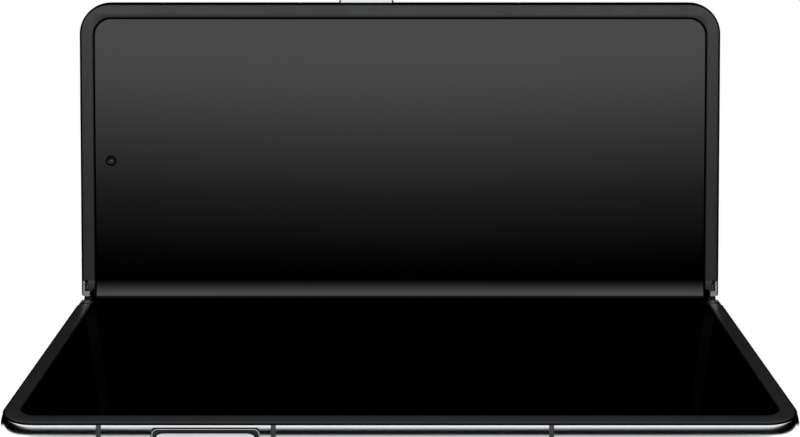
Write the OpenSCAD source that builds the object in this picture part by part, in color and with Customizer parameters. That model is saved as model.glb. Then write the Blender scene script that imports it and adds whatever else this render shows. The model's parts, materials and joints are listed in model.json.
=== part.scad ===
// Foldable phone, standing half open like a small laptop. Lengths are in millimetres.
// The lower half lies on the table and the upper half stands behind it.
// +X runs along the hinge, +Y away from the front edge and +Z up.
// The origin is the middle of the lower half's outer glass, which rests on the table.

/* [Overall] */
// Length of the phone along its hinge
phone_length = 158; // [146:1:170]
// Width of one half, from the fold line to its outer edge
half_width = 72.6; // [68:0.1:80]
// Depth of one half below the face of its display
body_depth = 6.3; // [6.2:0.1:7.2]
// Angle between the two displays as the phone stands
open_angle = 104; // [80:1:170]
// Gap between the two frames when the phone lies flat
frame_gap = 0.3; // [0.2:0.05:0.5]

/* [Layers] */
// Thickness of the folding display panel
display_t = 0.6; // [0.4:0.05:0.7]
// Thickness of the panel where it bends
fold_t = 0.35; // [0.2:0.05:0.4]
// Thickness of the plate under each flat part of the display
plate_t = 0.4; // [0.3:0.05:0.45]
// Thickness of the web that closes the frame under the display
web_t = 0.6; // [0.5:0.05:0.7]
// Thickness of the outer glass of each half
glass_t = 0.6; // [0.5:0.05:0.7]
// Thickness of the ledge and skirt that carry the outer glass
ledge_t = 0.4; // [0.3:0.05:0.45]

/* [Frame] */
// Radius of the outer corners, seen from above
corner_r = 8; // [6:0.5:12]
// Thickness of the frame's side walls
wall_t = 1.7; // [1.5:0.1:2]
// Height of the metal rim above the display
rim_rise = 0.2; // [0.1:0.05:0.3]
// Radius of the bulge of the side walls
bulge_r = 7.5; // [6.5:0.1:12]
// Radius that rounds the two edges of the side walls
rim_fillet = 0.3; // [0.2:0.05:0.4]
// Distance of bezel and glass from the outer contour
seat_inset = 1.0; // [0.95:0.05:1.2]
// Width of the ledge under the outer glass
ledge_w = 1.4; // [1:0.1:1.8]
// Clearance round bezel and glass in their seats
seat_gap = 0.05; // [0.02:0.01:0.1]
// Width of the plastic antenna strips in the frame
strip_w = 1.0; // [0.6:0.1:1.6]
// Distance of the first strip from the -X end
strip_1_end = 20.9; // [17:0.1:22]
// Distance of the second strip from the -X end
strip_2_end = 54.6; // [53:0.1:58]
// Distance of the third strip from the +X end
strip_3_end = 49.8; // [45:0.1:54]
// Length of the metal caps at the hinge ends of the frame
cap_length = 3.75; // [3.3:0.05:3.8]
// Corner radius of those caps, seen from above
cap_r = 1.3; // [0.8:0.1:1.6]

/* [Display border] */
// Height of the bezel above the display
bezel_rise = 0.6; // [0.45:0.05:0.7]
// Width from the frame's side to the visible display
side_border = 3.85; // [3.1:0.05:4.5]
// Width from the frame's outer edge to the visible display
outer_border = 4.1; // [3.1:0.05:4.5]
// How far the bezel laps over the panel
bezel_lip = 0.95; // [0.6:0.05:1.2]
// Corner radius of the visible display
view_r = 4.4; // [3:0.1:6]
// Distance from the fold line to the end of the bezel
bezel_end = 4.0; // [3.95:0.05:5]

/* [Hinge] */
// Radius of the display's inner face when the phone is shut
bend_r = 1.8; // [1.7:0.05:1.9]
// Radius of the spine cover about each hinge axis
spine_r = 5.45; // [5.3:0.05:5.5]
// Wall thickness of the spine cover
spine_wall = 0.7; // [0.5:0.05:0.8]
// Depth of the spine cover's edges below the display
spine_top = 2.2; // [2.1:0.05:2.5]
// Distance from the fold line to the wall that closes each frame's bay
bay_wall_y = 6.8; // [6.6:0.1:7.5]
// Thickness of that wall
bay_wall_t = 0.8; // [0.6:0.1:1.2]
// Inner radius of the curved rails
rail_in = 2.6; // [2.5:0.05:2.8]
// Outer radius of the curved rails
rail_out = 3.5; // [3.3:0.05:3.6]
// Width of each rail along the hinge
rail_w = 4; // [3:0.5:5]
// Running clearance of rails and shafts
run_gap = 0.05; // [0.03:0.01:0.08]
// Width of each rail guide along the hinge
guide_w = 15; // [14.5:0.5:18]
// Distance of the outer rail guides from the ends
rail_end = 19; // [18.5:0.5:21]
// Distance of the inner rail guides from the ends
rail_mid = 52; // [48:0.5:53]
// Thickness of the feet that screw the hinge to the frames
foot_t = 0.7; // [0.5:0.05:0.9]
// Radius of the small screws' shanks
screw_r = 0.4; // [0.3:0.05:0.5]
// Radius of the small screws' heads
screw_head_r = 0.8; // [0.65:0.05:0.9]

/* [Timing gears] */
// Tooth module
tooth_m = 0.2; // [0.19:0.005:0.21]
// Teeth of a full circle of the sector on each half
sector_teeth = 28; // [27:1:29]
// Teeth of each small gear
gear_teeth = 10; // [10:1:11]
// Width of each row of teeth along the hinge
gear_w = 1.6; // [1.2:0.1:2]
// Radius of the small gears' shafts
shaft_r = 0.3; // [0.25:0.05:0.4]
// Inner radius of the toothed sectors
sector_in = 2.0; // [1.9:0.05:2.1]
// Gap beside each row of teeth
gear_side_gap = 0.15; // [0.1:0.05:0.3]

/* [Keys] */
// Length of the power key
power_length = 13.4; // [10:0.1:16]
// Distance of the power key's middle from the -X end
power_end = 70.7; // [66:0.1:88]
// Height of the power key
power_height = 2.3; // [1.8:0.1:3]
// How far the power key stands out of the frame
power_rise = 0.5; // [0.35:0.05:0.8]
// Travel of the power key
power_travel = 0.25; // [0.15:0.05:0.3]
// Length of the volume rocker
volume_length = 19.8; // [16:0.1:24]
// Distance of the volume rocker's middle from the -X end
volume_end = 41.5; // [36:0.1:42]
// Height of the volume rocker
volume_height = 3.6; // [2:0.1:3.8]
// How far the volume rocker stands out of the frame
volume_rise = 0.15; // [0.1:0.05:0.4]
// Tilt of the volume rocker each way, in degrees
volume_tilt = 1.2; // [0.8:0.1:1.4]
// Clearance round each key in its slot
key_gap = 0.1; // [0.08:0.01:0.15]
// Length of each switch under the volume rocker
volume_switch_l = 6; // [4:0.5:7]
// Length of the switch under the power key
power_switch_l = 8; // [5:0.5:9]
// Thickness of the flange that keeps each key in its slot
flange_t = 0.5; // [0.4:0.05:0.7]
// How far that flange laps behind the frame
flange_lap = 0.5; // [0.3:0.05:0.7]

/* [Card tray and port] */
// Length of the card tray's face
tray_length = 15.5; // [15:0.1:18]
// Height of the card tray's face
tray_height = 2.6; // [2.2:0.1:3]
// Place of the card tray's middle across the half
tray_y = 53; // [50:0.5:54]
// Length of the small card
card_length = 12.3; // [12:0.1:12.5]
// Width of the small card
card_width = 8.8; // [8.5:0.1:9]
// Thickness of the small card
card_t = 0.67; // [0.6:0.01:0.7]
// Thickness of the card tray
tray_t = 1.3; // [1.2:0.05:1.5]
// Radius of the tray's eject hole
eject_r = 0.45; // [0.4:0.05:0.6]
// Width of the port's mouth
port_width = 8.34; // [8.2:0.02:8.5]
// Height of the port's mouth
port_height = 2.56; // [2.5:0.02:2.7]
// Depth of the port
port_depth = 7.4; // [6.5:0.1:8.5]
// Width of the tongue in the port
port_tongue_w = 6.69; // [6.6:0.01:6.7]
// Thickness of that tongue
port_tongue_t = 0.7; // [0.65:0.05:0.75]
// Radius of the sound holes in the frame
sound_r = 0.55; // [0.4:0.05:0.7]

/* [Cameras] */
// Radius of the inner camera's hole in the display
punch_r = 1.3; // [1.1:0.05:1.6]
// Distance of the inner camera from the -X end
punch_end = 8; // [7:0.1:9]
// Distance of the inner camera from the fold line
punch_y = 33.5; // [32:0.1:36]
// Side of the camera island on the back
island_side = 35; // [34:0.5:38]
// Corner radius of the camera island
island_r = 9.5; // [7:0.5:12]
// Height of the camera island above the rear glass
island_rise = 1.9; // [1.5:0.1:2.4]
// Distance of the camera island's middle from the -X end
island_end = 24.5; // [23:0.5:26]
// Distance of the camera island's middle from the outer edge
island_edge = 23.6; // [22:0.1:25]
// Radius of the rings round the rear lenses
lens_ring_r = 5.8; // [5.2:0.1:6]
// Spacing of the rear lenses
lens_pitch = 15; // [14.5:0.5:16]
// Radius of the cover camera's window
cover_cam_r = 1.9; // [1.6:0.1:2.4]

// Side of each rear camera's body
rear_camera_side = 11.5; // [10:0.5:12]
// Depth of each rear camera's body behind the web
rear_camera_t = 3.4; // [2.8:0.1:3.6]
// Side of the cover camera's body
cover_camera_side = 6.4; // [5:0.2:7]
// Side of the inner camera's body
inner_camera_side = 5; // [4:0.2:5]
// Depth of these two cameras' bodies behind the web
small_camera_t = 2.6; // [2:0.1:3]

/* [Inside] */
// Length of the lower circuit board along the hinge
lower_board_l = 35.5; // [30:0.5:40]
// Distance of the lower board from the -X end
lower_board_end = 12.5; // [10:0.5:14]
// Length of the main board along the hinge
main_board_l = 68; // [64:0.5:72]
// Distance of the main board from the -X end
main_board_end = 4; // [3:0.5:6]
// Width of the main board's strip beside the hinge
main_board_w = 16.5; // [12:0.5:17]
// Length of the main board's wide block
main_block_l = 28.5; // [20:0.5:30]
// Room for the tray, speaker and socket between each battery and the +X end
end_room = 22.5; // [22:0.5:26]
// Gap between boards and batteries
battery_gap = 3; // [1:0.5:5]
// Width of both batteries across the half
battery_w = 50; // [40:0.5:51]
// Thickness of both batteries
battery_t = 3.0; // [2.4:0.1:3.2]
// Thickness of the circuit boards
board_t = 0.7; // [0.5:0.1:1]
// Gap between the boards and the web
board_gap = 0.6; // [0.4:0.1:0.9]
// Room between the boards and the side wall for the keys' switches
board_room = 7.5; // [4:0.5:10]
// Height of the shield cans on the boards
can_t = 1.3; // [0.9:0.1:1.4]
// Gap between and around the shield cans
can_gap = 2.5; // [1:0.5:4]
// Length of both loudspeakers along the hinge
speaker_l = 16; // [12:0.5:17]
// Width of the lower loudspeaker
lower_speaker_w = 27; // [20:0.5:28]
// Width of the upper loudspeaker
upper_speaker_w = 16.5; // [12:0.5:17]
// Depth of the loudspeakers behind the web
speaker_t = 3.2; // [2.4:0.1:3.4]
// Length of the earpiece's loudspeaker along the hinge
earpiece_l = 5; // [4:0.5:5]
// Width of the earpiece's loudspeaker
earpiece_w = 15; // [10:0.5:16]
// Length of the vibration motor along the hinge
motor_l = 14; // [8:0.5:15]
// Width of the vibration motor
motor_w = 11; // [8:0.5:12]
// Distance of the motor's middle from the fold line
motor_y = 54; // [52:0.5:56]
// Depth of the motor and the earpiece's loudspeaker behind the web
motor_t = 3.0; // [2:0.1:3.4]
// Outer radius of the charging coil
coil_r = 21; // [16:0.5:23]
// Inner radius of the charging coil
coil_in = 9; // [6:0.5:12]
// Thickness of the charging coil
coil_t = 0.4; // [0.2:0.05:0.45]

/* [Hidden] */

// Round things are true circles; this only sets how finely they are shown.
$fn = 64;
// A cut goes this far past the face that it opens
over = 1;

half_length = phone_length / 2;
power_x = power_end - half_length;
volume_x = volume_end - half_length;
punch_x = punch_end - half_length;
island_x = island_end - half_length;
island_y = half_width - island_edge;
display_back = -display_t;
plate_back = display_back - plate_t;
web_back = plate_back - web_t;
glass_back = -body_depth;
glass_front = glass_back + glass_t;
ledge_front = glass_front + ledge_t;
side_mid_z = (rim_rise - body_depth) / 2;
side_half_h = (rim_rise + body_depth) / 2;
// The side walls' bulge turns into the rounded edges at this angle
bulge_end = asin((side_half_h - rim_fillet) / (bulge_r - rim_fillet));
edge_inset = bulge_r - (bulge_r - rim_fillet) * cos(bulge_end);
near_edge = frame_gap / 2;
panel_side = side_border - bezel_lip;
panel_outer = outer_border - bezel_lip;

// Hinge axes, seen along the hinge with the phone flat: (axis_y, axis_z) and its mirror
axis_y = bend_r * PI / 4;
axis_z = bend_r - axis_y;
flat_edge = bend_r * PI / 2;
rest_turn = (180 - open_angle) / 2;
// The spine's ends stand back from the sides, inside the hooks of the hinge caps
spine_half = half_length - 2.7;
end_cap_t = 1.0;
cover_half = spine_half - end_cap_t;
head_r = 2.35;
head_top = -0.7;
head_half = 2;
// The spine's end blocks reach under the hooks and into a recess of the caps
block_half = 3;
block_top = -1.75;
block_bottom = -4.9;
cap_recess = 0.75;
block_end = half_length - cap_recess - 0.15;
neck_half = half_length - side_border - 2 * seat_gap;
neck_y = bezel_end + 0.1;
cap_wall = 1.3;
shelf_inset = wall_t + 1.5;
hook_x = spine_half + 0.2;
hook_y = 1.2;
tongue_start = 1.8;
tongue_out = 2.2;

// Curved rails: their span below the hinge axis with the phone flat
rail_from = -155;
rail_to = -35;
guide_xs = [rail_end - half_length, rail_mid - half_length, half_length - rail_mid,
  half_length - rail_end];
rail_shift = rail_w / 2 + 0.6;
guide_r = spine_r - spine_wall - 0.1;
ridge_half = 2.7;
ridge_top = -0.55;
shoulder_half = 3.3;
shoulder_top = -1.35;
arm_top = plate_back - 0.05;
arm_bottom = -2.0;
// How far an arm's root reaches into its rail
rail_bite = 0.15;
foot_start = 7.8;
foot_end = 10.8;
foot_screw_y = 9.6;
screw_gap = 0.02;
screw_head_t = 0.4;
window_gap = 0.2;
guide_screw_x = guide_w / 2 - 1.1;
spine_floor = axis_z - spine_r + spine_wall;

// Timing gears: four small gears between the two sectors
sector_r = tooth_m * sector_teeth / 2;
gear_r = tooth_m * gear_teeth / 2;
gear_ys = [-3 * gear_r, -gear_r, gear_r, 3 * gear_r];
mesh_y = gear_ys[3] - axis_y;
mesh_drop = sqrt(pow(sector_r + gear_r, 2) - pow(mesh_y, 2));
gear_z = axis_z - mesh_drop;
mesh_angle = atan2(-mesh_drop, mesh_y);
gear_step = 360 / gear_teeth;
sector_step = 360 / sector_teeth;
// Tooth angles with the phone flat, worked out from the upper sector's mesh downwards
tooth_4 = mesh_angle + 180 + gear_step / 2;
tooth_3 = 180 - tooth_4 + gear_step / 2;
tooth_2 = 180 - tooth_3 + gear_step / 2;
tooth_1 = 180 - tooth_2 + gear_step / 2;
// Angle of the lower sector's teeth, which mesh with gear 1 on the other side
lower_mesh = 180 - mesh_angle;
lower_tooth = lower_mesh - (tooth_1 - lower_mesh + 180) * gear_teeth / sector_teeth
  + sector_step / 2;
gear_turn = rest_turn * sector_teeth / gear_teeth;
tip_rise = 0.75 * tooth_m;
root_drop = 1.25 * tooth_m;
row_mid = gear_w / 2;
row_far = row_mid + gear_side_gap + gear_w;
carrier_in = row_far + gear_side_gap;
carrier_t = 1.2;
row_foot = 2.4;
sync_foot_half = 4.2;
sector_from = -161;
sector_to = -58;

// Cavity: parts hang from the web and stop short of the outer glass
bay_y = 12.5;
strip_xs = [strip_1_end - half_length, strip_2_end - half_length, half_length - strip_3_end];
key_z = side_mid_z;
switch_t = 0.8;
tray_face_t = 1.5;
card_x = half_length - tray_face_t - 0.6 - card_length / 2;
tray_inner = card_x - card_length / 2 - 0.8;
tray_z = key_z;
tray_body_w = card_width + 1.8;
eject_y = tray_length / 2 - 1.7;
port_wall = 0.35;
port_y = half_width / 2;
// The port's shell hangs right under the web
port_z = web_back - port_height / 2 - port_wall;
lens_at = [[0, 0], [0, -1], [1, -1]];
island_lens_x = island_x - lens_pitch / 2;
island_lens_y = island_y + lens_pitch / 2;

fold_rho = (axis_y * (1 + cos(rest_turn)) + axis_z * sin(rest_turn)) / sin(rest_turn);
fold_span = rest_turn - 0.3;
hook_depth = 1.2;
camera_hole_r = punch_r + 0.1;
cover_cam_x = punch_x;
reader_wall = 0.9;
cover_panel_t = 0.45;
cover_border = 6;
island_window = island_side - 6;
speaker_hole_y = 21;
earpiece_y = 52;
sound_pitch = 2.4;
speaker_x = half_length - speaker_l / 2 - wall_t - 1.3;
motor_x = half_length - motor_l / 2 - 5;
board_front = web_back - board_gap - board_t;
board_w = half_width - wall_t - board_room - bay_y;
lower_board_x = lower_board_end - half_length;
main_board_x = main_board_end - half_length;
coil_x = (main_board_x + main_board_l + battery_gap + half_length - end_room) / 2;
post_r = 1.2;
post_inset = 2;
key_neck_h = 2.4;
strip_t = 0.4;
volume_slack = volume_length / 2 * sin(volume_tilt) + 0.08;
flash_r = 1.8;
lens_cover_r = lens_ring_r - 1.1;
cover_glass_t = 0.5;
ring_front = glass_back - island_rise - 0.45;
guide_head_z = ridge_top - screw_head_t - 0.1;
guide_bite = 0.45;
tooth_foot = 0.9 * tooth_m;
tooth_tip = 0.32 * tooth_m;

metal = "#c9ccd0";
dark_metal = "#4b4d52";
polished = "#e4e6e9";
black_plastic = "#1d1e20";
screen_black = "#08080b";
glass_grey = "#3a3d44";
steel = "#9a9da3";
board_green = "#1f5a3c";
battery_grey = "#5c5f66";
copper = "#b5713c";
brass = "#c3a35a";

// Placement of the three frames of the folded phone
module turn_about(y, z, angle)
  translate([0, y, z]) rotate([angle, 0, 0]) translate([0, -y, -z]) children();

module on_lower() translate([0, half_width / 2, body_depth]) mirror([0, 1, 0]) children();

module on_spine()
  translate([0, half_width / 2, body_depth]) turn_about(-axis_y, axis_z, rest_turn) children();

module on_upper() on_spine() turn_about(axis_y, axis_z, rest_turn) children();

// Each half is drawn flat: x along the hinge, y from the fold line out, z up from the display.
module along_x(from, to) translate([from, 0, 0]) rotate([90, 0, 90]) linear_extrude(to - from) children();

module layer(from, to) translate([0, 0, from]) linear_extrude(to - from) children();

// Outline of a half with two round outer corners, inset from the frame's contour
module outline(side_in, outer_in, r, from) {
  hx = half_length - side_in;
  ty = half_width - outer_in;
  translate([-hx, from]) square([2 * hx, ty - r - from]);
  translate([r - hx, from]) square([2 * (hx - r), ty - from]);
  for (s = [-1, 1]) translate([s * (hx - r), ty - r]) circle(r);
}

module rounded_rect(w, h, r) {
  square([w - 2 * r, h], center = true);
  square([w, h - 2 * r], center = true);
  for (sx = [-1, 1], sy = [-1, 1]) translate([sx * (w / 2 - r), sy * (h / 2 - r)]) circle(r);
}

module stadium(w, h) {
  square([w - h, h], center = true);
  for (s = [-1, 1]) translate([s * (w - h) / 2, 0]) circle(h / 2);
}

// Pie slice of a ring, angles measured from +y towards +z
module ring_slice(r_in, r_out, from, to) {
  steps = 5;
  intersection() {
    difference() {
      circle(r_out);
      circle(r_in);
    }
    polygon(concat([[0, 0]], [for (i = [0:steps]) let (a = from + (to - from) * i / steps)
      2 * r_out * [cos(a), sin(a)]]));
  }
}

// Shape round both hinge axes at one radius, filled between them
module twin_round(r) {
  for (s = [-1, 1]) translate([s * axis_y, axis_z]) circle(r);
  translate([-axis_y, axis_z - r]) square([2 * axis_y, r]);
}

module below(z, half = 20) translate([-half, z - half]) square([2 * half, half]);

// Section of the side wall as [inset from the contour, height]
function arc_points(cs, cz, r, from, to, n) =
  [for (i = [0:n]) let (a = from + (to - from) * i / n) [cs - r * cos(a), cz + r * sin(a)]];

wall_curve = concat(
  arc_points(edge_inset, rim_rise - rim_fillet, rim_fillet, 90, bulge_end, 4),
  arc_points(bulge_r, side_mid_z, bulge_r, bulge_end, -bulge_end, 16),
  arc_points(edge_inset, rim_fillet - body_depth, rim_fillet, -bulge_end, -90, 4));
seat_points = [[seat_inset, glass_back], [seat_inset, glass_front]];
rim_points = [[seat_inset, plate_back], [seat_inset, rim_rise]];
ledge_points = [[seat_inset + ledge_w, glass_front], [seat_inset + ledge_w, ledge_front]];
wall_section = concat(wall_curve, seat_points, ledge_points,
  [[wall_t, ledge_front], [wall_t, web_back], [shelf_inset, web_back], [shelf_inset, plate_back]],
  rim_points);
strip_section = concat(wall_curve, seat_points, [[wall_t, glass_front], [wall_t, plate_back]],
  rim_points);
cap_section = concat(wall_curve, seat_points, ledge_points,
  [[cap_recess, ledge_front], [cap_recess, -hook_depth - seat_gap],
    [cap_wall, -hook_depth - seat_gap], [cap_wall, rim_rise]]);

module side_run(points, from, to)
  translate([0, to, 0]) rotate([90, 0, 0]) linear_extrude(to - from)
    polygon([for (p = points) [half_length - p[0], p[1]]]);

module wall_sweep(points, from) {
  side_y = half_width - corner_r;
  side_x = half_length - corner_r;
  for (s = [0, 1]) mirror([s, 0, 0]) {
    side_run(points, from, side_y);
    translate([side_x, side_y, 0]) rotate_extrude(angle = 90)
      polygon([for (p = points) [corner_r - p[0], p[1]]]);
  }
  along_x(-side_x, side_x) polygon([for (p = points) [half_width - p[0], p[1]]]);
}

module strip_boxes()
  for (x = strip_xs) translate([x - strip_w / 2, half_width - wall_t, glass_back - over])
    cube([strip_w, wall_t + over, body_depth + 3 * over]);

// Places along the hinge where the feet of one half are screwed; side is 1 below and -1 above
function rail_xs(side) = [for (x = guide_xs) x + side * rail_shift];
function foot_screw_xs(side) = concat(rail_xs(side), [-row_foot, row_foot]);
function row_middle(side) = side * (row_far + row_mid + gear_side_gap) / 2;

module foot_window(x, w)
  translate([x - w / 2 - window_gap, bay_wall_y - over, web_back - foot_t - window_gap])
    cube([w + 2 * window_gap, bay_wall_t + 2 * over, foot_t + window_gap]);

module frame_body(side) {
  difference() {
    union() {
      wall_sweep(wall_section, cap_length + near_edge);
      layer(web_back, plate_back) outline(wall_t, wall_t, corner_r - wall_t, bay_wall_y);
      // Skirt that covers the spine when the phone lies flat
      layer(glass_front, ledge_front) translate([-half_length + seat_inset + ledge_w, near_edge])
        square([phone_length - 2 * (seat_inset + ledge_w), bay_wall_y + bay_wall_t - near_edge]);
      // Wall between the hinge bay and the cavity
      layer(glass_front, plate_back) translate([-half_length + wall_t, bay_wall_y])
        square([phone_length - 2 * wall_t, bay_wall_t]);
    }
    strip_boxes();
    for (x = rail_xs(side)) foot_window(x, rail_w);
    foot_window(row_middle(side), gear_w);
    for (x = foot_screw_xs(side)) translate([x, foot_screw_y, web_back - over])
      cylinder(r = screw_r + screw_gap, h = web_t + over - 0.1);
  }
}

module antenna_strips() {
  intersection() {
    wall_sweep(strip_section, cap_length + near_edge);
    strip_boxes();
  }
}

// Slot or body through the outer wall, from a height outside it to a depth inside it
module through_outer(x, out, deep, w, h)
  translate([x, half_width + out, key_z]) rotate([90, 0, 0]) linear_extrude(out + deep) stadium(w, h);

module lower_frame() color(metal) on_lower() {
  difference() {
    frame_body(1);
    through_outer(volume_x, over, wall_t + over / 2, volume_length + 2 * key_gap,
      volume_height + 2 * key_gap);
    along_x(half_length - wall_t - over, half_length + over) translate([tray_y, tray_z])
      stadium(tray_length + 2 * key_gap, tray_height + 2 * key_gap);
    sound_row(half_length, speaker_hole_y);
    sound_row(-half_length, earpiece_y);
  }
}

module upper_frame() color(metal) on_upper() {
  difference() {
    frame_body(-1);
    through_outer(power_x, over, wall_t + over / 2, power_length + 2 * key_gap,
      power_height + 2 * key_gap);
    along_x(half_length - wall_t - over, half_length + over) translate([port_y, port_z])
      stadium(port_width + 2 * port_wall + 2 * seat_gap, port_height + 2 * port_wall + 2 * seat_gap);
    sound_row(half_length, speaker_hole_y);
    translate([punch_x, punch_y, web_back - over]) cylinder(r = camera_hole_r, h = web_t + 2 * over);
  }
}

// Row of sound holes through a side wall
module sound_row(x, mid_y)
  for (i = [-2:2]) translate([x - wall_t - over / 2, mid_y + i * sound_pitch, key_z])
    rotate([0, 90, 0]) cylinder(r = sound_r, h = 2 * wall_t + over);

module lower_antenna_strips() color(glass_grey) on_lower() antenna_strips();
module upper_antenna_strips() color(glass_grey) on_upper() antenna_strips();

// Metal cap at each hinge end of a frame, with a hook that turns inwards at the fold
module hinge_caps() {
  for (s = [0, 1]) mirror([s, 0, 0]) intersection() {
    union() {
      side_run(cap_section, near_edge, near_edge + cap_length);
      translate([hook_x, near_edge, -hook_depth])
        cube([half_length - cap_wall - hook_x + over / 2, hook_y, hook_depth + rim_rise - 0.05]);
    }
    layer(glass_back - over, over) cap_outline();
  }
}

module cap_outline() {
  x0 = hook_x - 2;
  translate([x0, near_edge + cap_r]) square([half_length - x0, cap_length]);
  translate([x0, near_edge]) square([half_length - cap_r - x0, cap_length]);
  translate([half_length - cap_r, near_edge + cap_r]) circle(cap_r);
}

module lower_hinge_caps() color(polished) on_lower() hinge_caps();
module upper_hinge_caps() color(polished) on_upper() hinge_caps();

// Bezel: a band in the frame's seat with a lip over the edge of the display
module bezel_ring() {
  outer_in = seat_inset + seat_gap;
  layer(plate_back, bezel_rise) difference() {
    outline(outer_in, outer_in, corner_r - outer_in, bezel_end);
    outline(panel_side - seat_gap, panel_outer - seat_gap, view_r + bezel_lip, bezel_end - over);
  }
  layer(0, bezel_rise) difference() {
    outline(outer_in, outer_in, corner_r - outer_in, bezel_end);
    outline(side_border, outer_border, view_r, bezel_end - over);
  }
  // Tongues that run on between the ends of the fold and the caps
  for (s = [0, 1]) mirror([s, 0, 0]) translate([half_length - side_border, tongue_start, 0])
    cube([side_border - tongue_out, bezel_end - tongue_start + seat_gap, bezel_rise]);
}

module lower_bezel() color(black_plastic) on_lower() bezel_ring();
module upper_bezel() color(black_plastic) on_upper() bezel_ring();

// Flat part of the display or of its plate, narrower beside the ends of the spine
module panel_outline(from) {
  outline(panel_side, panel_outer, view_r + bezel_lip, neck_y);
  translate([-neck_half, from]) square([2 * neck_half, neck_y - from]);
}

module lower_display() color(screen_black) on_lower() layer(display_back, 0) panel_outline(flat_edge);

module upper_display() color(screen_black) on_upper() difference() {
  layer(display_back, 0) panel_outline(flat_edge);
  translate([punch_x, punch_y, display_back - over]) cylinder(r = punch_r, h = display_t + 2 * over);
}

module display_fold() color(screen_black) on_spine() along_x(-neck_half, neck_half)
  translate([0, fold_rho]) ring_slice(fold_rho, fold_rho + fold_t, -90 - fold_span, -90 + fold_span);

module lower_display_plate() color(steel) on_lower()
  layer(plate_back, display_back) panel_outline(flat_edge + seat_gap);

module upper_display_plate() color(steel) on_upper() difference() {
  layer(plate_back, display_back) panel_outline(flat_edge + seat_gap);
  translate([punch_x, punch_y, plate_back - over]) cylinder(r = camera_hole_r, h = plate_t + 2 * over);
}

module glass_outline() {
  inset = seat_inset + seat_gap;
  outline(inset, inset, corner_r - inset, near_edge);
}

module cover_glass() color(glass_grey) on_lower() difference() {
  layer(glass_back, glass_front) glass_outline();
  translate([cover_cam_x, port_y, glass_back - over])
    cylinder(r = cover_cam_r + seat_gap, h = glass_t + 2 * over);
}

module rear_glass() color(glass_grey) on_upper() difference() {
  layer(glass_back, glass_front) glass_outline();
  layer(glass_back - over, glass_front + over) translate([island_x, island_y])
    rounded_rect(island_window, island_window, lens_ring_r + 0.7);
}

module cover_display() color(screen_black) on_lower() difference() {
  layer(glass_front, glass_front + cover_panel_t)
    outline(cover_border, cover_border, view_r, bay_wall_y + bay_wall_t + over);
  translate([cover_cam_x, port_y, glass_front - over])
    cylinder(r = cover_cam_r + 0.4, h = cover_panel_t + 2 * over);
}

// Camera that looks out of one face: body against the web, barrel, and a recess for its lens
module camera_unit(side, depth, barrel_r, front, lens_r, recess) difference() {
  union() {
    layer(web_back - depth, web_back) square(side, center = true);
    layer(front, web_back - depth + over / 2) circle(barrel_r);
  }
  layer(front - over, front + recess) circle(lens_r);
  layer(front - over, front + 1.6 * recess) circle(0.6 * lens_r);
}

module cover_camera() color(black_plastic) on_lower() translate([cover_cam_x, port_y, 0])
  camera_unit(cover_camera_side, small_camera_t, cover_cam_r, glass_back + 0.03, 0.5 * cover_cam_r, 0.4);

module inner_camera() color(black_plastic) on_upper() translate([punch_x, punch_y, 0])
  difference() {
    union() {
      layer(web_back - small_camera_t, web_back) square(inner_camera_side, center = true);
      layer(web_back - over, -0.05) circle(punch_r - 0.1);
    }
    layer(-0.5, over) circle(0.5 * punch_r);
  }

// Box behind the web with rounded corners
module pack(x, y, l, w, t, r) layer(web_back - t, web_back) translate([x, y]) rounded_rect(l, w, r);

// Battery between the circuit board that ends at x and the room at the +X end
module battery(x) {
  l = half_length - end_room - battery_gap - x;
  pack(x + battery_gap + l / 2, bay_y + battery_w / 2, l, battery_w, battery_t, 1.5);
}

module lower_battery() color(battery_grey) on_lower() battery(lower_board_x + lower_board_l);
module upper_battery() color(battery_grey) on_upper() battery(main_board_x + main_board_l);

// Rows of shield cans under a circuit board's rectangle
module cans(x, y, l, w, nx, ny) {
  can_l = (l - (nx + 1) * can_gap) / nx;
  can_w = (w - (ny + 1) * can_gap) / ny;
  for (i = [0:nx - 1], j = [0:ny - 1])
    translate([x + can_gap + i * (can_l + can_gap), y + can_gap + j * (can_w + can_gap), board_front - can_t])
      cube([can_l, can_w, can_t + 0.1]);
}

module posts(xs, ys) layer(board_front + board_t / 2, web_back)
  for (x = xs, y = ys) translate([x, y]) circle(post_r);

module lower_board() color(board_green) on_lower() {
  layer(board_front, board_front + board_t) translate([lower_board_x, bay_y]) square([lower_board_l, board_w]);
  posts([lower_board_x + post_inset, lower_board_x + lower_board_l - post_inset],
    [bay_y + post_inset, bay_y + board_w - post_inset]);
  cans(lower_board_x, bay_y, lower_board_l, board_w, 2, 2);
}

module main_board() color(board_green) on_upper() {
  main_end = main_board_x + main_board_l;
  layer(board_front, board_front + board_t) union() {
    translate([main_board_x, bay_y]) square([main_board_l, main_board_w]);
    translate([main_end - main_block_l, bay_y]) square([main_block_l, board_w]);
  }
  posts([main_board_x + post_inset, main_end - post_inset], [bay_y + post_inset]);
  cans(main_board_x + 2 * post_inset, bay_y, main_board_l - main_block_l - 2 * post_inset, main_board_w, 2, 1);
  cans(main_end - main_block_l, bay_y, main_block_l, board_w, 1, 3);
}

module lower_speaker() color(black_plastic) on_lower()
  pack(speaker_x, speaker_hole_y + 7, speaker_l, lower_speaker_w, speaker_t, 2);

module upper_speaker() color(black_plastic) on_upper()
  pack(speaker_x, speaker_hole_y, speaker_l, upper_speaker_w, speaker_t, 2);

module earpiece_speaker() color(black_plastic) on_lower()
  pack(earpiece_l / 2 + wall_t + 0.8 - half_length, earpiece_y, earpiece_l, earpiece_w, motor_t, 1);

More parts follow.
